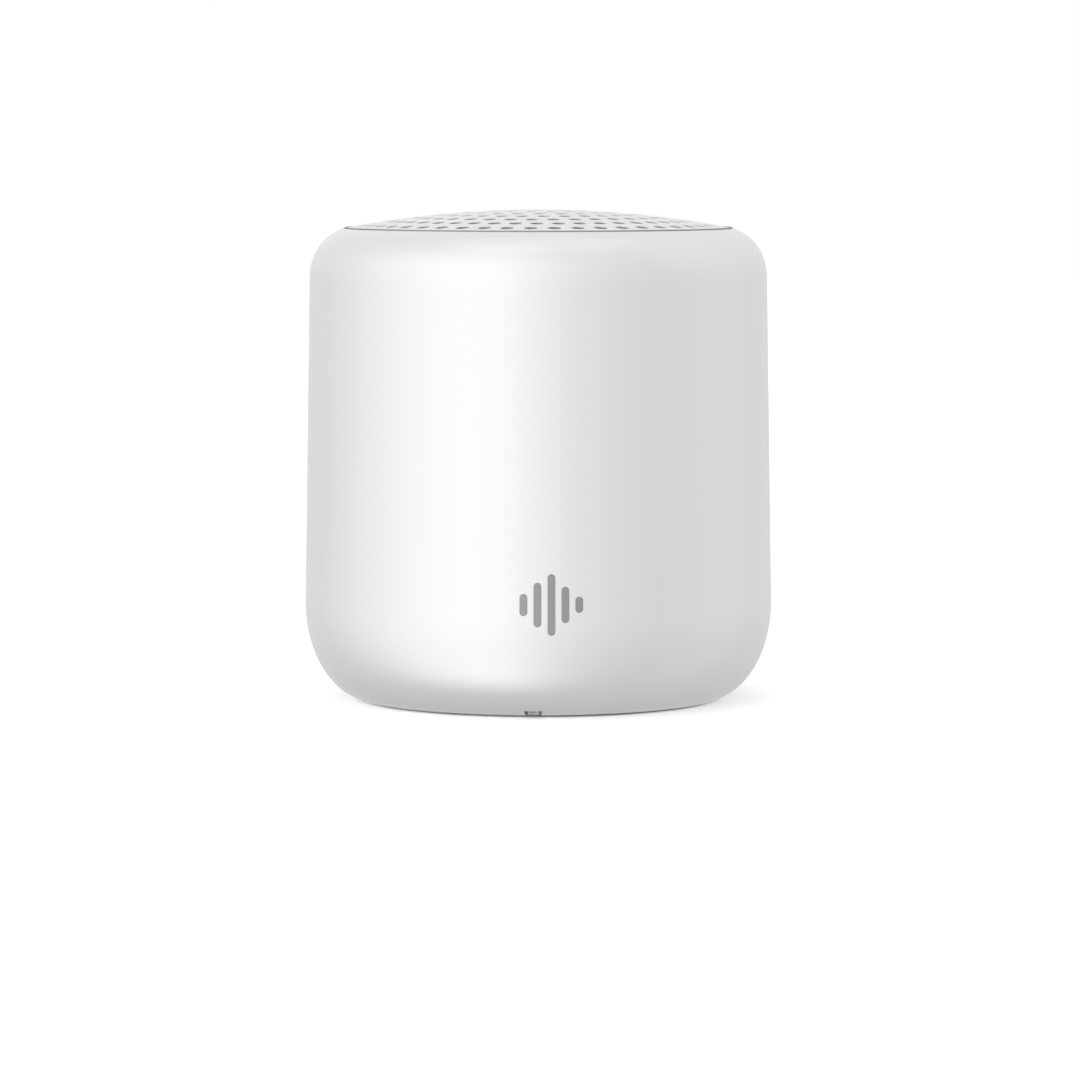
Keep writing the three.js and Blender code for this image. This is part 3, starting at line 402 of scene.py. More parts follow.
METAL = {"metallic": 1.0}
recipes = {
    "shell_plastic": dict(
        colour=(0.84, 0.84, 0.845), shade=0.996, patches=22.0, rough=(0.262, 0.272), rough_scale=250.0,
        values={"Grain": 2600.0, "Waves": 160.0, "Wave Share": 0.3}, depth=4e-7,
        coat_weight=0.35, coat_roughness=0.09,
    ),
    "grille_paint": dict(
        colour=(0.83, 0.83, 0.83), shade=0.97, rough=(0.42, 0.52), rough_scale=900.0,
        values={"Grain": 3200.0, "Waves": 900.0, "Wave Share": 0.4}, depth=6e-6,
    ),
    "button_plastic": dict(
        shade=0.98, rough=(0.38, 0.46),
        values={"Grain": 5200.0, "Waves": 500.0, "Wave Share": 0.3}, depth=4e-6,
    ),
    "base_plastic": dict(
        shade=0.96, rough=(0.5, 0.62),
        values={"Grain": 4200.0, "Waves": 700.0, "Wave Share": 0.2}, depth=1.6e-5,
    ),
    "carrier_plastic": dict(rough=(0.5, 0.6)),
    "chassis_plastic": dict(rough=(0.5, 0.62), depth=1e-5),
    "seal_rubber": dict(shade=0.85, rough=(0.6, 0.75), depth=8e-6),
    "foot_rubber": dict(
        shade=0.85, rough=(0.68, 0.82), rough_scale=1500.0, relief="specks",
        values={"Scale": 5200.0, "Size": 0.16}, accent=(0.24, 0.24, 0.245), depth=1.8e-5,
    ),
    "foam": dict(relief="specks", values={"Scale": 3500.0, "Size": 0.3}, rough=(0.85, 0.95), depth=6e-5),
    "surround_rubber": dict(rough=(0.42, 0.55), depth=5e-6),
    "black_nylon": dict(rough=(0.4, 0.52), depth=8e-6),
    "cream_nylon": dict(rough=(0.42, 0.55), depth=6e-6),
    "plunger_plastic": dict(rough=(0.35, 0.45), depth=4e-6),
    "chip_resin": dict(
        rough=(0.5, 0.62), relief="specks", values={"Scale": 9000.0, "Size": 0.2}, depth=6e-6,
    ),
    "red_insulation": dict(shade=0.8, rough=(0.4, 0.5)),
    "black_insulation": dict(shade=0.8, rough=(0.4, 0.5)),
    "grille_fabric": dict(
        shade=0.88, rough=(0.85, 0.95), relief="weave", values={"Threads": 3600.0},
        accent=(0.42, 0.42, 0.43), depth=6e-5,
    ),
    "spider_cloth": dict(
        shade=0.8, rough=(0.7, 0.8), relief="weave", values={"Threads": 2600.0},
        accent=(0.74, 0.60, 0.36), depth=6e-5,
    ),
    "cone_paper": dict(
        shade=0.75, rough=(0.72, 0.85), relief="fibre", values={"Scale": 1400.0}, depth=5e-5,
    ),
    "tan_laminate": dict(
        shade=0.85, rough=(0.55, 0.65), relief="fibre", values={"Scale": 900.0}, depth=1e-5,
    ),
    "ferrite": dict(
        rough=(0.5, 0.68), relief="specks", values={"Scale": 3000.0, "Size": 0.12}, depth=2e-5,
    ),
    "basket_steel": dict(rough=(0.35, 0.5), values={"Grain": 3000.0, "Waves": 900.0}, depth=8e-6),
    "plated_steel": dict(relief="brushed", rough=(0.26, 0.4), depth=4e-6, **METAL),
    "microphone_steel": dict(relief="brushed", rough=(0.25, 0.35), depth=4e-6, **METAL),
    "screw_steel": dict(relief="brushed", rough=(0.2, 0.32), depth=3e-6, **METAL),
    "socket_steel": dict(
        relief="brushed", values={"Lines": 5000.0}, rough=(0.2, 0.32), rough_scale=1200.0,
        depth=3e-6, **METAL,
    ),
    "can_aluminium": dict(relief="brushed", rough=(0.25, 0.35), depth=3e-6, **METAL),
    "pouch_foil": dict(
        rough=(0.26, 0.38), values={"Grain": 900.0, "Waves": 140.0, "Wave Share": 0.7}, depth=9e-5,
        **METAL,
    ),
    "copper_wire": dict(
        rough=(0.25, 0.35), relief="winding", values={"Pitch": 0.00022}, depth=6e-5, **METAL,
    ),
    "former_film": dict(shade=0.9, rough=(0.2, 0.3), coat_weight=0.5),
    "board_laminate": dict(
        relief="tracks", accent=(0.04, 0.26, 0.12), rough=(0.28, 0.38), depth=3e-5, coat_weight=0.4,
    ),
    "clear_plastic": dict(rough=(0.3, 0.42), depth=4e-6, transmission_weight=0.6, ior=1.46),
    "lamp_resin": dict(rough=(0.25, 0.35), depth=4e-6, coat_weight=0.5),
}
finishes = {slot: make_finish(slot, **recipe) for slot, recipe in recipes.items()}

for entry in frame["record"]["subparts"]:
    carried = frame["nodes"][entry["node"]].data
    carried.materials.clear()
    carried.materials.append(finishes[entry["material_slot"]])

# Painted shade: the sheet's colour turns grey with depth below the dome's face, standing in for the
# shade down in its holes.
HOLE_SHADE_GREY = (0.2, 0.2, 0.205, 1.0)
HOLE_SHADE_FROM = 0.02
HOLE_SHADE_FULL = 0.12
grille_tree = finishes["grille_paint"].node_tree
grille_colour = grille_tree.nodes["Principled BSDF"].inputs["Base Color"]
grille_place = node(grille_tree, "ShaderNodeTexCoord").outputs["Object"]
dome_centre = (0.0, 0.0, (DOME_TOP - DOME_SPHERE) * MM)
from_centre = node(
    grille_tree, "ShaderNodeVectorMath", {0: grille_place, 1: dome_centre}, operation="DISTANCE",
).outputs["Value"]
# Mask of the painted shade: 0 on the dome's face, rising to 1 deeper in the holes.
hole_shade_mask = node(grille_tree, "ShaderNodeMapRange", {
    "Value": from_centre, "From Min": (DOME_SPHERE - HOLE_SHADE_FROM) * MM,
    "From Max": (DOME_SPHERE - HOLE_SHADE_FULL) * MM,
}).outputs[0]
hole_shade_colour = node(grille_tree, "ShaderNodeMix", {
    0: hole_shade_mask, 6: grille_colour.links[0].from_socket, 7: HOLE_SHADE_GREY,
}, data_type="RGBA")
grille_tree.links.new(hole_shade_colour.outputs[2], grille_colour)

# ---------------------------------------------------------------- shaping tools


def soften(corners, steps=4):
    """A closed outline of (radius, height, fillet) corners, with each fillet drawn as an arc."""
    outline = []
    for index, (x, y, fillet) in enumerate(corners):
        here = Vector((x, y))
        if not fillet:
            outline.append((x, y))
            continue
        back = (Vector(corners[index - 1][:2]) - here).normalized()
        on = (Vector(corners[(index + 1) % len(corners)][:2]) - here).normalized()
        half = back.angle(on) / 2
        centre = here + (back + on).normalized() * fillet / math.sin(half)
        first = here + back * fillet / math.tan(half) - centre
        last = here + on * fillet / math.tan(half) - centre
        sweep = first.angle(last)
        for step in range(steps + 1):
            share = step / steps
            arm = first * math.sin((1 - share) * sweep) + last * math.sin(share * sweep)
            outline.append(tuple(centre + arm / math.sin(sweep)))
    return outline


def even_angles(count, start=0.0):
    return [start + FULL_TURN * step / count for step in range(count)]


def add_ring(shape, radius, z, angles):
    if radius < 1e-6:
        return [shape.verts.new((0, 0, z))] * len(angles)
    return [shape.verts.new((radius * math.cos(a), radius * math.sin(a), z)) for a in angles]


def add_face(shape, *corners):
    """A face on these corners, with repeated ones dropped."""
    kept = list(dict.fromkeys(corners))
    if len(kept) > 2:
        shape.faces.new(kept)


def join_rings(shape, first, second):
    for index in range(len(first)):
        after = (index + 1) % len(first)
        add_face(shape, first[index], first[after], second[after], second[index])


def turned(outline, angles):
    """A closed outline of (radius, height) points, turned about Z."""
    shape = bmesh.new()
    rings = [add_ring(shape, radius, z, angles) for radius, z in outline]
    for index, ring in enumerate(rings):
        join_rings(shape, rings[index - 1], ring)
    return shape


def finish_piece(name, shape, slot, replaced=(), body="housing", sharp=32, place=None):
    """Turns a shape in millimetres into a piece that rides on its body."""
    bmesh.ops.remove_doubles(shape, verts=shape.verts, dist=1e-4)
    bmesh.ops.recalc_face_normals(shape, faces=shape.faces)
    shape.transform(Matrix.Scale(MM, 4) @ (place or Matrix.Identity(4)))
    mesh = bpy.data.meshes.new(name)
    shape.to_mesh(mesh)
    shape.free()
    mesh.shade_smooth()
    mesh.set_sharp_from_angle(angle=math.radians(sharp))
    mesh.materials.append(finishes[slot])
    piece = bpy.data.objects.new(name, mesh)
    bpy.context.scene.collection.objects.link(piece)
    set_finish(piece, slot)
    if replaced:
        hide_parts(*replaced)
    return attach(piece, body) if body else piece


# ---------------------------------------------------------------- shell


def round_hole(radius):
    def outline(across, up, margin):
        length = math.hypot(across, up)
        return across / length * (radius + margin), up / length * (radius + margin)

    return outline


def long_hole(radius, reach):
    """A hole with straight long sides and round ends, reach from its centre to each end's centre."""

    def outline(across, up, margin):
        edge = radius + margin
        length = math.hypot(across, up)
        across, up = across / length, up / length
        if abs(up) * reach > abs(across) * edge:
            return across * edge / abs(up), math.copysign(edge, up)
        along = abs(across) * reach
        far = along + math.sqrt(along * along - reach * reach + edge * edge)
        return across * far, up * far

    return outline


def shell_rows():
    """The shell's section as a closed list of (radius, height), with the rows where the openings'
    windows start outside and inside, and the row at the top of the notch."""
    start = math.acos(1 - SHELL_FOOT / CORNER_HEIGHT)
    end = math.acos(1 - WINDOW_FOOT / CORNER_HEIGHT)
    levels = [WINDOW_FOOT + WINDOW_STEP * step for step in range(WINDOW_STEPS + 1)]
    foot = [(wall_radius(z), z) for z in (SHELL_FOOT, 0.4, 0.58, NOTCH_TOP)]
    notch = math.acos(1 - NOTCH_TOP / CORNER_HEIGHT)
    rows = list(foot)
    corner_steps = 9
    for step in range(1, corner_steps):
        turn = notch + (end - notch) * step / corner_steps
        rows.append((FLAT_RADIUS + CORNER_RUN * math.sin(turn), CORNER_HEIGHT * (1 - math.cos(turn))))
    outside_window = len(rows)
    rows += [(wall_radius(z), z) for z in levels]
    wall_steps = 8
    for step in range(1, wall_steps):
        z = levels[-1] + (SHOULDER_Z - levels[-1]) * step / wall_steps
        rows.append((wall_radius(z), z))
    across = 1 - MOUTH_INSET / SHOULDER_RUN
    reach = math.acos(across ** (SHOULDER_FULLNESS / 2))
    shoulder_steps = 30
    for step in range(shoulder_steps):
        turn = reach * step / shoulder_steps
        out = math.cos(turn) ** (2 / SHOULDER_FULLNESS)
        up = math.sin(turn) ** (2 / SHOULDER_FULLNESS)
        rows.append((SHOULDER_RADIUS - SHOULDER_RUN * (1 - out), SHOULDER_Z + SHOULDER_RISE * up))
    for inset, drop in ((0.06, 0.032), (0.015, 0.065), (0.0, 0.14)):
        rows.append((BORE_RADIUS + inset, MOUTH_Z - drop))
    bore_end = MOUTH_Z - BORE_DEPTH
    inner_top = bore_end - (SHOULDER_RADIUS - WALL - BORE_RADIUS)
    rows += [(BORE_RADIUS, bore_end), (SHOULDER_RADIUS - WALL, inner_top)]
    inside_window = len(rows)
    rows += [(inner_radius(z), z) for z in reversed(levels)]
    step_radius = inner_radius(LEDGE_TOP + LEDGE_FILLET / 2)
    bore = foot[0][0] - LIP_WALL
    rows += [
        (step_radius, LEDGE_TOP + LEDGE_FILLET / 2),
        (step_radius - LEDGE_FILLET, LEDGE_TOP),
        (bore - LEDGE_WIDTH, LEDGE_TOP),
        (bore - LEDGE_WIDTH, LEDGE_BOTTOM),
        (bore, LEDGE_BOTTOM),
        (bore, NOTCH_TOP),
        (bore, SHELL_FOOT),
    ]
    return rows, outside_window, inside_window, len(foot) - 1


def shell_columns():
    """The angles of the shell's columns, in degrees, and the first and last column of each opening."""
    notch_half = math.degrees(math.asin(NOTCH_WIDTH / 2 / wall_radius(NOTCH_TOP)))
    spans = [
        ("button", BUTTON_ANGLE - BUTTON_SPAN, BUTTON_ANGLE + BUTTON_SPAN, 24),
        ("", BUTTON_ANGLE + BUTTON_SPAN, SOCKET_ANGLE - SOCKET_SPAN, 4),
        ("socket", SOCKET_ANGLE - SOCKET_SPAN, SOCKET_ANGLE + SOCKET_SPAN, 36),
        ("", SOCKET_ANGLE + SOCKET_SPAN, MICROPHONE_ANGLE - SOUND_SPAN, 9),
        ("sound", MICROPHONE_ANGLE - SOUND_SPAN, MICROPHONE_ANGLE + SOUND_SPAN, 6),
        ("", MICROPHONE_ANGLE + SOUND_SPAN, NOTCH_ANGLE - notch_half, 86),
        ("notch", NOTCH_ANGLE - notch_half, NOTCH_ANGLE + notch_half, 2),
        ("", NOTCH_ANGLE + notch_half, BUTTON_ANGLE - BUTTON_SPAN + 360, 84),
    ]
    columns, windows = [], {}
    for name, start, end, steps in spans:
        windows[name] = (len(columns), len(columns) + steps)
        columns += [start + (end - start) * step / steps for step in range(steps)]
    return columns, windows


def pierce(shape, grid, columns, window, levels, outside, inside, angle, z, outline):
    """Joins the window in the shell's two surfaces to a hole with a rounded outer edge."""
    first, last = window
    bottom, top = levels
    border = [(bottom, column) for column in range(first, last)]
    border += [(level, last) for level in range(bottom, top)]
    border += [(top, column) for column in range(last, first, -1)]
    border += [(level, first) for level in range(top, bottom, -1)]
    outward = Vector((math.cos(math.radians(angle)), math.sin(math.radians(angle)), 0))
    sideways = Vector((-outward.y, outward.x, 0))

    def local(level, column, radius_at):
        height = WINDOW_FOOT + WINDOW_STEP * level
        return radius_at(height) * math.sin(math.radians(columns[column] - angle)), height - z

    def point(across, up, radius_at, sunk=0.0):
        out = math.sqrt(radius_at(z + up) ** 2 - across ** 2) - sunk
        return shape.verts.new(outward * out + sideways * across + Vector((0, 0, z + up)))

    def patch(radius_at, margin, share):
        ring = []
        for level, column in border:
            across, up = local(level, column, radius_at)
            edge_across, edge_up = outline(across, up, margin)
            ring.append(point(
                across + (edge_across - across) * share, up + (edge_up - up) * share, radius_at,
            ))
        return ring

    rings = [[grid[outside + level][column] for level, column in border]]
    rings += [patch(wall_radius, EDGE_ROUND, share) for share in (0.3, 0.6, 0.85, 1.0)]
    for turn in (math.radians(30), math.radians(60), math.radians(90)):
        ring = []
        for level, column in border:
            across, up = outline(*local(level, column, wall_radius), EDGE_ROUND * (1 - math.sin(turn)))
            ring.append(point(across, up, wall_radius, EDGE_ROUND * (1 - math.cos(turn))))
        rings.append(ring)
    rings += [patch(inner_radius, 0.0, share) for share in (1.0, 0.5)]
    rings.append([grid[inside + WINDOW_STEPS - level][column] for level, column in border])
    for near, far in zip(rings, rings[1:]):
        join_rings(shape, near, far)


def make_shell():
    """The round shell, with its button, socket and sound holes and the notch in its foot."""
    rows, outside, inside, notch_row = shell_rows()
    columns, windows = shell_columns()
    shape = bmesh.new()
    angles = [math.radians(angle) for angle in columns]
    grid = [add_ring(shape, radius, z, angles) for radius, z in rows]
    openings = {"button": (1, 19), "socket": (3, 16), "sound": (7, 13)}
    left_out = set()
    for name, (bottom, top) in openings.items():
        for column in range(*windows[name]):
            left_out |= {(outside + level, column) for level in range(bottom, top)}
            left_out |= {(inside + WINDOW_STEPS - 1 - level, column) for level in range(bottom, top)}
    last = len(rows) - 1
    for column in range(*windows["notch"]):
        left_out |= {(row, column) for row in range(notch_row)} | {(last - 1, column), (last, column)}
    for row in range(len(rows)):
        below, above = grid[row], grid[(row + 1) % len(rows)]
        for column in range(len(columns)):
            after = (column + 1) % len(columns)
            if (row, column) not in left_out:
                add_face(shape, below[column], below[after], above[after], above[column])
    first, end = windows["notch"]
    for column in range(first, end):
        add_face(
            shape, grid[notch_row][column], grid[notch_row][column + 1], grid[last - 1][column + 1],
            grid[last - 1][column],
        )
    for column in (first, end):
        side = [grid[row][column] for row in range(notch_row + 1)]
        add_face(shape, *side, grid[last - 1][column], grid[last][column])
    holes = {
        "button": (BUTTON_ANGLE, CONTROL_Z, round_hole(BUTTON_HOLE)),
        "socket": (SOCKET_ANGLE, socket_z, long_hole(SOCKET_CUT_RADIUS, SOCKET_CUT_REACH)),
        "sound": (MICROPHONE_ANGLE, CONTROL_Z, round_hole(SOUND_HOLE)),
    }
    for name, (angle, z, outline) in holes.items():
        pierce(shape, grid, columns, windows[name], openings[name], outside, inside, angle, z, outline)
    return shape


socket_low, socket_high = (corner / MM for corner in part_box("charge_socket_shell"))
socket_z = (socket_low.z + socket_high.z) / 2
finish_piece("shell_moulding", make_shell(), "shell_plastic", ["outer_shell"])

# ---------------------------------------------------------------- grille


def punched_cell(shape, radius, angle, half_angle):
    """One punched hole with the plate around it, out to a border that its neighbours share."""
    arc_steps, side_steps = 8, 4
    inner, outer = radius - CELL_DEPTH, radius + CELL_DEPTH
    start, end = angle - half_angle, angle + half_angle
    border = [(inner, start + (end - start) * step / arc_steps) for step in range(arc_steps)]
    border += [(inner + (outer - inner) * step / side_steps, end) for step in range(side_steps)]
    border += [(outer, end + (start - end) * step / arc_steps) for step in range(arc_steps)]
    border += [(outer + (inner - outer) * step / side_steps, start) for step in range(side_steps)]
    centre = Vector((radius * math.cos(angle), radius * math.sin(angle)))
    corners = [Vector((r * math.cos(a), r * math.sin(a))) for r, a in border]
    add_hole(shape, centre, corners)


def add_hole(shape, centre, corners):
    """The plate between a border and a round hole, with a rounded edge above and a sharp one below."""

    def ring(margin, sunk, share=1.0):
        points = []
        for corner in corners:
            rim = centre + (corner - centre).normalized() * (HOLE_RADIUS + margin)
            spot = corner.lerp(rim, share)
            points.append(shape.verts.new((*spot, dome_z(spot.length) - sunk)))
        return points

    rings = [ring(0, 0, 0.0), ring(HOLE_EDGE, 0)]
    for turn in (math.radians(45), math.radians(90)):
        rings.append(ring(HOLE_EDGE * (1 - math.sin(turn)), HOLE_EDGE * (1 - math.cos(turn))))
    rings += [ring(0, PLATE), ring(0, PLATE, 0.0)]
    for near, far in zip(rings, rings[1:]):
        join_rings(shape, near, far)


def zip_circles(shape, near_radius, near_angles, far_radius, far_angles, sunk):
    """Triangles between two circles on the dome whose points don't match."""
    inner = sorted(angle % FULL_TURN for angle in near_angles)
    outer = sorted(angle % FULL_TURN for angle in far_angles)

    def ring(radius, angles):
        z = dome_z(radius) - sunk
        return [shape.verts.new((radius * math.cos(a), radius * math.sin(a), z)) for a in angles]

    near, far = ring(near_radius, inner), ring(far_radius, outer)
    i = j = 0
    while i < len(inner) or j < len(outer):
        next_inner = inner[i + 1] if i + 1 < len(inner) else inner[0] + FULL_TURN
        next_outer = outer[j + 1] if j + 1 < len(outer) else outer[0] + FULL_TURN
        here, there = near[i % len(inner)], far[j % len(outer)]
        if j >= len(outer) or (i < len(inner) and next_inner <= next_outer):
            add_face(shape, here, near[(i + 1) % len(inner)], there)
            i += 1
        else:
            add_face(shape, here, there, far[(j + 1) % len(outer)])
            j += 1


def make_grille():
    """The domed sheet: a hole in the middle, rings of punched cells, and a rounded rim."""
    shape = bmesh.new()
    steps = 8
    edge_angles = even_angles(24)
    around = [Vector((math.cos(a), math.sin(a))) * CELL_DEPTH for a in edge_angles]
    add_hole(shape, Vector((0, 0)), around)
    edge = CELL_DEPTH
    for ring in range(1, RINGS):
        radius = RING_PITCH * ring
        pitch = RIM_HOLE_PITCH if ring == RINGS - 1 else HOLE_PITCH
        count = round(FULL_TURN * radius / pitch)
        half_angle = math.pi / count
        first = -math.pi / 2 + RING_STAGGER[ring] * 2 * half_angle
        for index in range(count):
            punched_cell(shape, radius, first + 2 * half_angle * index, half_angle)
        angles = even_angles(count * steps, first - half_angle)
        for sunk in (0, PLATE):
            zip_circles(shape, edge, edge_angles, radius - CELL_DEPTH, angles, sunk)
        edge, edge_angles = radius + CELL_DEPTH, angles
    rim = [(r, dome_z(r)) for r in (edge, *RIM_LAND)]
    rim_z = dome_z(GRILLE_RADIUS)
    rim += [(r, rim_z - drop) for r, drop in (*RIM_ROUND, (GRILLE_RADIUS, RIM_DROP))]
    rim += [(GRILLE_RADIUS, rim_z - PLATE), (edge, dome_z(edge) - PLATE)]
    rings = [add_ring(shape, radius, z, edge_angles) for radius, z in rim]
    for near, far in zip(rings, rings[1:]):
        join_rings(shape, near, far)
    return shape


finish_piece("grille_sheet", make_grille(), "grille_paint", ["grille"], sharp=40)

gasket_low, gasket_high = (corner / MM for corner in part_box("grille_gasket"))
gasket = soften([
    (gasket_high.x - SEAL_WIDTH, gasket_low.z, 0),
    (gasket_high.x, gasket_low.z, 0),
    (gasket_high.x, gasket_high.z, 0.1),
    (gasket_high.x - SEAL_WIDTH, gasket_high.z, 0.1),
])
finish_piece("grille_seal", turned(gasket, even_angles(240)), "seal_rubber", ["grille_gasket"])

# The acoustic cloth is a thin dome stretched under the holes.
cloth_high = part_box("grille_cloth")[1] / MM
cloth_gap = DOME_TOP - PLATE - cloth_high.z


def make_cloth():
    shape = bmesh.new()
    angles = even_angles(96)
    for sunk in (0, CLOTH_THICKNESS):
        drop = PLATE + cloth_gap + sunk
        radii = [cloth_high.x * step / 16 for step in range(17)]
        rings = [add_ring(shape, radius, dome_z(radius) - drop, angles) for radius in radii]
        for near, far in zip(rings, rings[1:]):
            join_rings(shape, near, far)
        if not sunk:
            edge = rings[-1]
    join_rings(shape, edge, rings[-1])
    return shape


cloth = finish_piece("acoustic_cloth", make_cloth(), "grille_fabric", ["grille_cloth"])

# ---------------------------------------------------------------- base and foot

foot_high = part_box("foot_ring")[1] / MM
cover_low, cover_high = (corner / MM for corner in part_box("base_cover"))
foot_inner = foot_high.x - FOOT_WIDTH
foot = soften([
    (foot_inner, 0, 0.2),
    (foot_high.x, 0, 0.2),
    (foot_high.x, foot_high.z, 0),
    (foot_inner, foot_high.z, 0),
])
finish_piece("foot_pad", turned(foot, even_angles(200)), "foot_rubber", ["foot_ring"])

groove = foot_inner - FIT
base = soften([
    (0, cover_low.z, 0),
    (groove, cover_low.z, 0.2),
    (groove, foot_high.z + REST, 0),
    (foot_high.x, foot_high.z + REST, 0.1),
    (foot_high.x, LEDGE_BOTTOM - REST, 0),
    (foot_high.x - LEDGE_WIDTH, LEDGE_BOTTOM - REST, 0),
    (foot_high.x - LEDGE_WIDTH, LEDGE_TOP, 0),
    (RIB_RADIUS, LEDGE_TOP, 0),
    (RIB_RADIUS, cover_low.z + BASE_FLOOR, 0),
    (0, cover_low.z + BASE_FLOOR, 0),
])
post = soften([
    (0, LEDGE_TOP - POST_SUNK, 0),
    (POST_RADIUS, LEDGE_TOP - POST_SUNK, 0),
    (POST_RADIUS, cover_high.z, 0.2),
    (0, cover_high.z, 0),
])


def make_base():
    """The base with a groove for the foot and four posts under the circuit board."""
    shape = turned(base, even_angles(200))
    for angle in (0, 90, 180, 270):
        place = Vector((RIB_RADIUS + POST_OUT, 0, 0))
        place.rotate(Matrix.Rotation(math.radians(angle), 3, "Z"))
        made = turned(post, even_angles(32))
        made.transform(Matrix.Translation(place))
        mesh = bpy.data.meshes.new("post")
        made.to_mesh(mesh)
        made.free()
        shape.from_mesh(mesh)
        bpy.data.meshes.remove(mesh)
    return shape


finish_piece("base_moulding", make_base(), "base_plastic", ["base_cover"])

# ---------------------------------------------------------------- button

button_out = wall_radius(CONTROL_Z) + BUTTON_PROUD
button_way = Vector((math.cos(math.radians(BUTTON_ANGLE)), math.sin(math.radians(BUTTON_ANGLE)), 0))
button_cad = frame["nodes"]["power_button"]
button_points = [button_cad.matrix_world @ vertex.co for vertex in button_cad.data.vertices]
stem_end = min(point.dot(button_way) for point in button_points) / MM
flange_back = stem_end + STEM_LENGTH
flange_front = flange_back + FLANGE_THICKNESS
button_corners = [
    (0, stem_end, 0), (STEM_RADIUS, stem_end, 0.1), (STEM_RADIUS, flange_back, 0),
    (FLANGE_RADIUS, flange_back, 0.1), (FLANGE_RADIUS, flange_front, 0.1),
    (BUTTON_RADIUS, flange_front, 0),
    (BUTTON_RADIUS, button_out - BUTTON_CROWN, BUTTON_EDGE),
]


def make_button():
    """The cap with its slightly crowned face, its flange and its stem, turned about its own axis."""
    outline = soften(button_corners + [(0, button_out, 0)])
    face_radii = (2.4, 1.8, 1.2, 0.6)
    face = [(radius, button_out - BUTTON_CROWN * (radius / BUTTON_RADIUS) ** 2) for radius in face_radii]
    outline[-1:] = face + [(0, button_out)]
    return turned(outline, even_angles(96))


aim = Matrix.Rotation(math.radians(BUTTON_ANGLE), 4, "Z") @ Matrix.Rotation(math.radians(90), 4, "Y")
finish_piece(
    "button_cap", make_button(), "button_plastic", ["power_button"], body="power_button",
    place=Matrix.Translation((0, 0, CONTROL_Z)) @ aim,
)

# ---------------------------------------------------------------- charging socket


def stadium(width, height, end_steps=14):
    """The corners of a round-ended outline, once round."""
    radius = height / 2
    reach = width / 2 - radius
    corners = []
    for side in (1, -1):
        for step in range(end_steps + 1):
            turn = math.radians(-90 + 180 * step / end_steps)
            corners.append((side * (reach + radius * math.cos(turn)), side * radius * math.sin(turn)))
    return corners


def make_socket():
    """The pressed can: open at the mouth, with a rolled edge, closed at the back."""
    shape = bmesh.new()
    width, height = socket_high.x - socket_low.x, socket_high.z - socket_low.z
    back, mouth = socket_low.y, socket_high.y
    stations = [
        (0.0, back), (0.0, mouth - 0.12), (0.04, mouth - 0.03), (0.13, mouth), (0.22, mouth - 0.03),
        (SOCKET_WALL, mouth - 0.1), (SOCKET_WALL, back + SOCKET_WALL),
    ]
    rings = []
    for inset, y in stations:
        corners = stadium(width - 2 * inset, height - 2 * inset)
        rings.append([shape.verts.new((x, y, socket_z + z)) for x, z in corners])
    for near, far in zip(rings, rings[1:]):
        join_rings(shape, near, far)
    shape.faces.new(rings[0])
    shape.faces.new(rings[-1])
    return shape


finish_piece("socket_can", make_socket(), "socket_steel", ["charge_socket_shell"])

# ---------------------------------------------------------------- parts that flex with the cone


def surround_outline(low, high, inner, outer, middle):
    """A half roll with a flat lip on each side, as a closed outline of (radius, height)."""
    roll = high - low
    hollow = roll - SURROUND_SKIN
    lip = low + SURROUND_SKIN
    meet = math.asin(SURROUND_SKIN / roll)
    under = [math.pi * (1 - step / 16) for step in range(17)]
    over = [meet + (math.pi - 2 * meet) * step / 18 for step in range(19)]
    return (
        [(middle + hollow * math.cos(turn), low + hollow * math.sin(turn)) for turn in under]
        + [(outer, low), (outer, lip)]
        + [(middle + roll * math.cos(turn), low + roll * math.sin(turn)) for turn in over]
        + [(inner, lip), (inner, low)]
    )


def spider_outline(low, high, inner, outer):
    """A corrugated disc, as a closed outline of (radius, height)."""
    half_wave = (high - low - SPIDER_SKIN) / 2
    lower = []
    for step in range(49):
        share = step / 48
        rise = half_wave * (1 - math.cos(FULL_TURN * SPIDER_WAVES * share))
        lower.append((inner + (outer - inner) * share, low + rise))
    return lower + [(radius, z + SPIDER_SKIN) for radius, z in reversed(lower)]


def sector(outline, first, last):
    """A closed outline turned from one angle to another about Z, with both ends closed."""
    shape = bmesh.new()
    rings = []
    for step in range(SECTOR_STEPS + 1):
        angle = first + (last - first) * step / SECTOR_STEPS
        out, side = math.cos(angle), math.sin(angle)
        rings.append([shape.verts.new((radius * out, radius * side, z)) for radius, z in outline])
    for near, far in zip(rings, rings[1:]):
        join_rings(shape, near, far)
    shape.faces.new(rings[0])
    shape.faces.new(rings[-1])
    return shape


def hang_ring(node_name, slot, outline):
    """A ring in sectors, each a piece with no body and its place baked into its mesh."""
    half = math.pi / SECTORS
    for index in range(SECTORS):
        middle = 2 * half * index
        shape = sector(outline, middle - half, middle + half)
        piece = finish_piece(f"{node_name}_sector_{index + 1}", shape, slot, [node_name], body=None)
        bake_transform(piece)


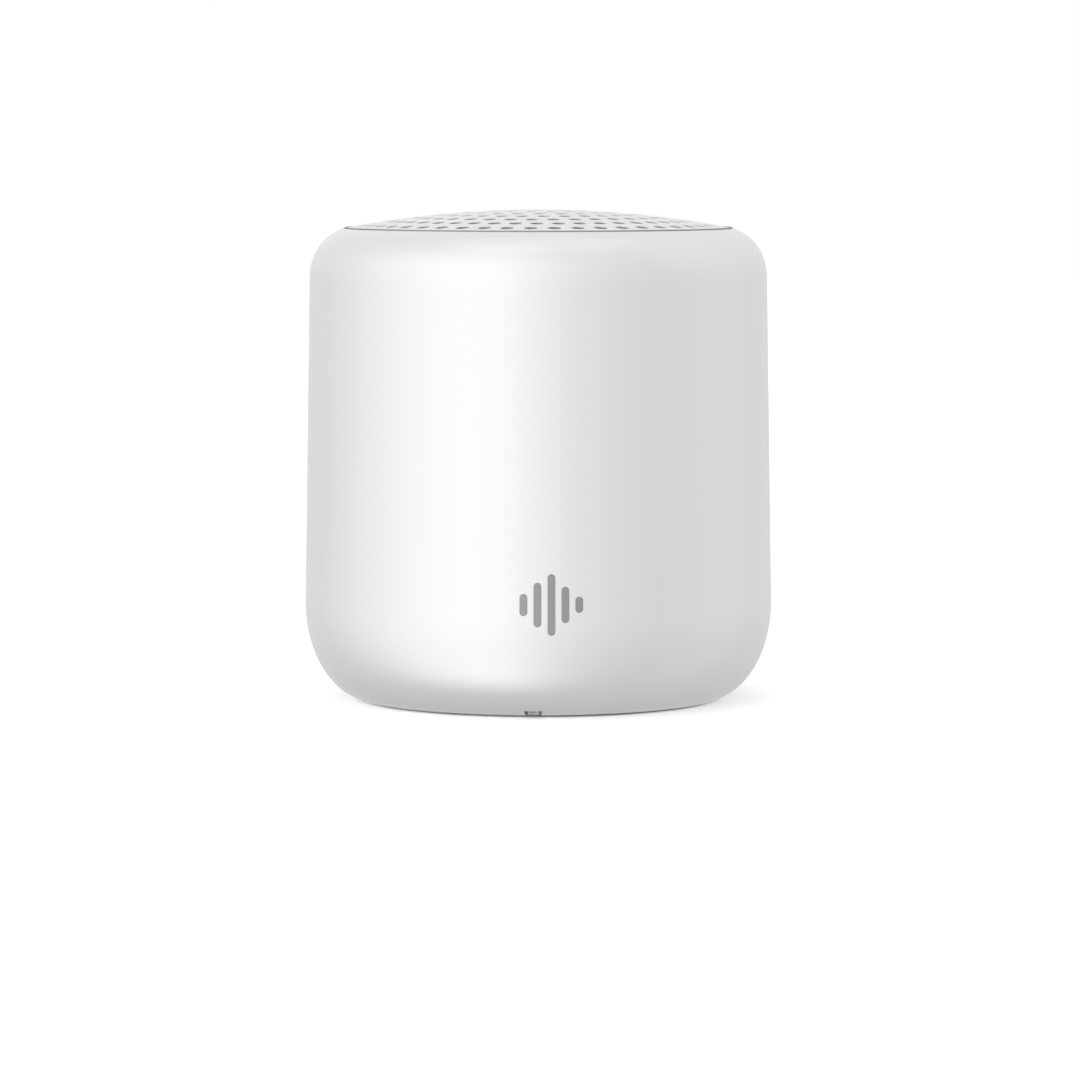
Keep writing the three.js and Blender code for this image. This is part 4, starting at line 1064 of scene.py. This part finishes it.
def make_braid(points):
    """A twisted lead along a smooth curve through these points."""
    shape = bmesh.new()
    around, along = 24, 90
    knots = [2 * points[0] - points[1]] + points + [2 * points[-1] - points[-2]]
    spans = len(points) - 1
    rings = []
    for step in range(along + 1):
        place = spans * step / along
        span = min(int(place), spans - 1)
        t = place - span
        p, q, r, s = knots[span:span + 4]
        bend, twist = 2 * p - 5 * q + 4 * r - s, 3 * q - p - 3 * r + s
        centre = 0.5 * (2 * q + (r - p) * t + bend * t ** 2 + twist * t ** 3)
        run = 0.5 * ((r - p) + 2 * bend * t + 3 * twist * t ** 2)
        side = Vector((1, 0, 0))
        side = (side - side.project(run)).normalized()
        other = run.cross(side).normalized()
        ring = []
        wound = FULL_TURN * BRAID_TWISTS * step / along
        for turn in even_angles(around):
            ridge = abs(math.sin((BRAID_STRANDS * turn + wound) / 2))
            radius = BRAID_RADIUS - BRAID_GROOVE * (1 - ridge)
            out = side * math.cos(turn) + other * math.sin(turn)
            ring.append(shape.verts.new(centre + radius * out))
        rings.append(ring)
    for near, far in zip(rings, rings[1:]):
        join_rings(shape, near, far)
    shape.faces.new(rings[0])
    shape.faces.new(rings[-1])
    return shape


surround_low, surround_high = (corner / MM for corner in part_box("surround"))
spider_low, spider_high = (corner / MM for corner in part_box("spider"))
cone_low, cone_high = (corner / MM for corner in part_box("cone"))
former_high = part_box("voice_coil_former")[1] / MM
terminal_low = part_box("terminal_board")[0] / MM

surround_roll = surround_high.z - surround_low.z
surround_middle = cone_high.x + surround_roll - SURROUND_OVERLAP
surround_inner = cone_high.x - SURROUND_LIP
hang_ring(
    "surround", "surround_rubber",
    surround_outline(surround_low.z, surround_high.z, surround_inner, surround_high.x, surround_middle),
)
hang_ring(
    "spider", "spider_cloth",
    spider_outline(spider_low.z, spider_high.z, former_high.x + 0.05, spider_high.x),
)
braid_from = terminal_low.y - 0.06
for colour, side in (("red", 1), ("black", -1)):
    braid = finish_piece(f"tinsel_braid_{colour}", make_braid([
        Vector((side * 2.6, braid_from, cone_low.z + 0.9)),
        Vector((side * 2.5, braid_from - 2.4, cone_low.z + 1.3)),
        Vector((side * 2.4, (braid_from + former_high.x) / 2, cone_low.z + 0.9)),
        Vector((side * 2.3, former_high.x + 1.8, cone_low.z + 0.35)),
    ]), "copper_wire", [f"tinsel_lead_{colour}"], body=None, sharp=60)
    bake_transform(braid)

# ---------------------------------------------------------------- printed mark


def make_mark():
    """Five upright round-ended bars of ink, like a level meter, on the curve of the wall."""
    shape = bmesh.new()
    across_steps, up_steps = 6, 40
    for index, tall in enumerate(MARK_HEIGHTS):
        middle = (index - 2) * MARK_PITCH
        radius = MARK_BAR / 2
        reach = tall / 2 - radius
        layers = []
        for lift in (INK, -INK_ROOT):
            rows = []
            for step in range(up_steps + 1):
                turn = math.pi * step / up_steps - math.pi / 2
                up = tall / 2 * math.sin(turn)
                past = max(0.0, abs(up) - reach)
                half = math.sqrt(max(0.0, radius ** 2 - past ** 2))
                row = []
                for column in range(across_steps + 1):
                    across = middle + half * (2 * column / across_steps - 1)
                    z = MARK_Z + up
                    wall = wall_radius(z) + lift
                    angle = math.radians(MARK_ANGLE) + across / BODY_RADIUS
                    row.append(shape.verts.new((wall * math.cos(angle), wall * math.sin(angle), z)))
                rows.append(row)
            layers.append(rows)
        for rows in layers:
            for lower, upper in zip(rows, rows[1:]):
                for column in range(across_steps):
                    add_face(
                        shape, lower[column], lower[column + 1], upper[column + 1], upper[column],
                    )
        front, back = layers
        for side in (0, across_steps):
            for step in range(up_steps):
                add_face(
                    shape, front[step][side], front[step + 1][side],
                    back[step + 1][side], back[step][side],
                )
    return shape


finishes["ink"] = make_finish(
    "printed_ink", colour=(0.265, 0.265, 0.267), shade=0.95, rough=(0.4, 0.5), depth=2e-6,
)
ink_shape = make_mark()
bmesh.ops.remove_doubles(ink_shape, verts=ink_shape.verts, dist=1e-3)
mark = finish_piece("printed_mark", ink_shape, "ink", sharp=60)
del mark["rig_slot"]

# ---------------------------------------------------------------- studio

TOP_POWER = 0.9
PANEL_POWER = 6.2
WORLD_ABOVE = 0.72
WORLD_LEVEL = 0.9
WORLD_BELOW = 0.38
WORLD_BEHIND = 0.14
FLOOR_Z = -0.02
FLOOR_START = 40
FLOOR_GROWTH = 1.5
FLOOR_GLOW = (0.3, 0.5)
FLOOR_GLOW_REACH = (0.05, 0.7)

scene = bpy.context.scene
scene.view_settings.view_transform = "Standard"

camera_data = bpy.data.cameras.new("camera")
camera_data.lens = 164.8
camera_data.clip_start = 0.01
camera = bpy.data.objects.new("camera", camera_data)
camera.location = (0.00017, -0.5079, 0.0577)
camera.rotation_euler = (math.radians(90 - 4.67), 0, 0)
scene.collection.objects.link(camera)
scene.camera = camera


def add_softbox(name, azimuth, elevation, distance, width, height, power):
    """A soft area light at an azimuth counted from the front towards the right, aimed at the speaker."""
    data = bpy.data.lights.new(name, "AREA")
    data.shape = "RECTANGLE"
    data.size = width
    data.size_y = height
    data.energy = power
    light = bpy.data.objects.new(name, data)
    turn, lift = math.radians(azimuth), math.radians(elevation)
    aim_at = Vector((0, 0, 0.025))
    away = Vector((math.sin(turn) * math.cos(lift), -math.cos(turn) * math.cos(lift), math.sin(lift)))
    light.location = aim_at + away * distance
    light.rotation_mode = "QUATERNION"
    light.rotation_quaternion = away.to_track_quat("Z", "Y")
    scene.collection.objects.link(light)


add_softbox("top", 0, 86, 0.7, 0.6, 0.6, TOP_POWER)

# A graded dome of light that shows only in gloss. The first stops give an angle counted from the
# front towards the right, the second an angle above the horizon, each with the brightness there.
AROUND_STOPS = (
    (-180, 0.03), (-150, 0.01), (-130, 0.02), (-108, 0.14), (-86, 0.44), (-62, 0.8), (-40, 1.0),
    (-19, 0.98), (1, 0.57), (21, 0.25), (42, 0.08), (58, 0.0), (76, 0.04), (103, 0.06), (121, 0.01),
    (142, 0.0), (180, 0.01),
)
UPWARD_STOPS = (
    (-90, 0.5), (-75, 0.8), (-60, 1.3), (-45, 1.22), (-30, 1.03), (25, 1.0), (42, 0.8), (55, 0.5),
    (90, 0.15),
)
DOME_RADIUS = 450
GLANCING_REACH = (436, 447)
GLANCING_SHARE = 0.03
dome_angles = [math.radians(angle) for angle in range(-90, 91, 10)]
dome_outline = [(DOME_RADIUS * math.cos(angle), DOME_RADIUS * math.sin(angle)) for angle in dome_angles]
panel_shape = bmesh.new()
panel_rings = [add_ring(panel_shape, radius, z, even_angles(72)) for radius, z in dome_outline]
for low_ring, high_ring in zip(panel_rings, panel_rings[1:]):
    join_rings(panel_shape, low_ring, high_ring)
panel_shape.transform(Matrix.Scale(MM, 4))
panel_mesh = bpy.data.meshes.new("light_dome")
panel_shape.to_mesh(panel_mesh)
panel_shape.free()


def graded(tree, value, span, stops):
    """Brightness along a list of (angle, brightness) stops. value is an angle in radians."""
    share = node(tree, "ShaderNodeMapRange", {
        "Value": value, "From Min": -math.radians(span), "From Max": math.radians(span),
    }).outputs[0]
    ramp = node(tree, "ShaderNodeValToRGB", {0: share})
    while len(ramp.color_ramp.elements) < len(stops):
        ramp.color_ramp.elements.new(0.5)
    for element, (angle, bright) in zip(ramp.color_ramp.elements, stops):
        element.position = (angle + span) / (2 * span)
        element.color = (bright, bright, bright, 1)
    return ramp.outputs["Color"]


panel_material = bpy.data.materials.new("light_dome")
panel_material.use_nodes = True
panel_tree = panel_material.node_tree
panel_tree.nodes.remove(panel_tree.nodes["Principled BSDF"])
panel_place = node(panel_tree, "ShaderNodeTexCoord").outputs["Object"]
panel_split = node(panel_tree, "ShaderNodeSeparateXYZ", {0: panel_place})
panel_front = math_node(panel_tree, "MULTIPLY", panel_split.outputs[1], -1.0)
panel_turn = math_node(panel_tree, "ARCTAN2", panel_split.outputs[0], panel_front)
panel_lift = math_node(
    panel_tree, "ARCSINE", math_node(panel_tree, "DIVIDE", panel_split.outputs[2], DOME_RADIUS * MM),
)
bright = math_node(
    panel_tree, "MULTIPLY", graded(panel_tree, panel_turn, 180, AROUND_STOPS),
    graded(panel_tree, panel_lift, 90, UPWARD_STOPS),
)
# A reflection that leaves the speaker at a glancing angle has further to go to the dome, and the
# dome fades with that distance, so the shell's outline stays clear of the white around it.
reach = node(panel_tree, "ShaderNodeLightPath").outputs["Ray Length"]
fade = node(panel_tree, "ShaderNodeMapRange", {
    "Value": reach, "From Min": GLANCING_REACH[0] * MM, "From Max": GLANCING_REACH[1] * MM,
    "To Min": 1.0, "To Max": GLANCING_SHARE,
}, interpolation_type="SMOOTHSTEP").outputs[0]
power = math_node(panel_tree, "MULTIPLY", math_node(panel_tree, "MULTIPLY", bright, fade), PANEL_POWER)
glow = node(panel_tree, "ShaderNodeEmission", {"Strength": power})
clear = node(panel_tree, "ShaderNodeBsdfTransparent")
both = node(panel_tree, "ShaderNodeAddShader", {0: glow.outputs[0], 1: clear.outputs[0]})
panel_tree.links.new(both.outputs[0], panel_tree.nodes["Material Output"].inputs["Surface"])
panel_mesh.materials.append(panel_material)
panel = bpy.data.objects.new("light_panel", panel_mesh)
scene.collection.objects.link(panel)
panel.visible_camera = False
panel.visible_diffuse = False
panel.visible_transmission = False
panel.visible_shadow = False
panel_material.cycles.emission_sampling = "NONE"

world = bpy.data.worlds.new("studio")
world.use_nodes = True
scene.world = world
world_tree = world.node_tree
seen = node(world_tree, "ShaderNodeLightPath").outputs["Is Camera Ray"]
direction = node(world_tree, "ShaderNodeTexCoord").outputs["Generated"]
_, backward, upward = node(world_tree, "ShaderNodeSeparateXYZ", {0: direction}).outputs
lower = node(world_tree, "ShaderNodeMapRange", {
    "Value": upward, "From Min": -1.0, "From Max": 0.0, "To Min": WORLD_BELOW, "To Max": WORLD_LEVEL,
}).outputs[0]
upper = node(world_tree, "ShaderNodeMapRange", {
    "Value": upward, "From Min": 0.0, "From Max": 1.0, "To Min": WORLD_LEVEL, "To Max": WORLD_ABOVE,
}).outputs[0]
behind = math_node(world_tree, "MAXIMUM", backward, 0.0)
fall = math_node(world_tree, "SUBTRACT", 1.0, math_node(world_tree, "MULTIPLY", behind, WORLD_BEHIND))
light = math_node(world_tree, "MULTIPLY", math_node(world_tree, "MINIMUM", lower, upper), fall)
strength = node(world_tree, "ShaderNodeMix", {0: seen, 2: light, 3: 1.0}, data_type="FLOAT").outputs[0]
world_tree.links.new(strength, world_tree.nodes["Background"].inputs["Strength"])
world.cycles.sampling_method = "NONE"
world_tree.nodes["Background"].inputs["Color"].default_value = (1, 1, 1, 1)

floor_shape = bmesh.new()
floor_radii = [0] + [FLOOR_START * FLOOR_GROWTH ** step for step in range(10)]
floor_rings = [add_ring(floor_shape, radius, FLOOR_Z, even_angles(64)) for radius in floor_radii]
for near_ring, far_ring in zip(floor_rings, floor_rings[1:]):
    join_rings(floor_shape, far_ring, near_ring)
floor_shape.transform(Matrix.Scale(MM, 4))
floor_mesh = bpy.data.meshes.new("floor")
floor_shape.to_mesh(floor_mesh)
floor_shape.free()
floor_material = bpy.data.materials.new("pale_floor")
floor_material.use_nodes = True
floor_shader = floor_material.node_tree.nodes["Principled BSDF"]
floor_shader.inputs["Base Color"].default_value = (0.93, 0.93, 0.93, 1)
floor_shader.inputs["Roughness"].default_value = 0.8
floor_shader.inputs["Specular IOR Level"].default_value = 0.2
floor_shader.inputs["Emission Color"].default_value = (1, 1, 1, 1)
floor_tree = floor_material.node_tree
floor_place = node(floor_tree, "ShaderNodeTexCoord").outputs["Object"]
floor_reach = node(
    floor_tree, "ShaderNodeVectorMath", {0: floor_place}, operation="LENGTH",
).outputs["Value"]
floor_light = node(floor_tree, "ShaderNodeMapRange", {
    "Value": floor_reach, "From Min": FLOOR_GLOW_REACH[0], "From Max": FLOOR_GLOW_REACH[1],
    "To Min": FLOOR_GLOW[0], "To Max": FLOOR_GLOW[1],
}).outputs[0]
floor_tree.links.new(floor_light, floor_shader.inputs["Emission Strength"])
under = node(floor_tree, "ShaderNodeNewGeometry").outputs["Backfacing"]
see_through = node(floor_tree, "ShaderNodeBsdfTransparent").outputs[0]
one_sided = node(floor_tree, "ShaderNodeMixShader", {
    0: under, 1: floor_shader.outputs[0], 2: see_through,
})
floor_tree.links.new(one_sided.outputs[0], floor_tree.nodes["Material Output"].inputs["Surface"])
floor_mesh.materials.append(floor_material)
floor = bpy.data.objects.new("floor", floor_mesh)
scene.collection.objects.link(floor)
floor.visible_glossy = False
floor.visible_diffuse = False
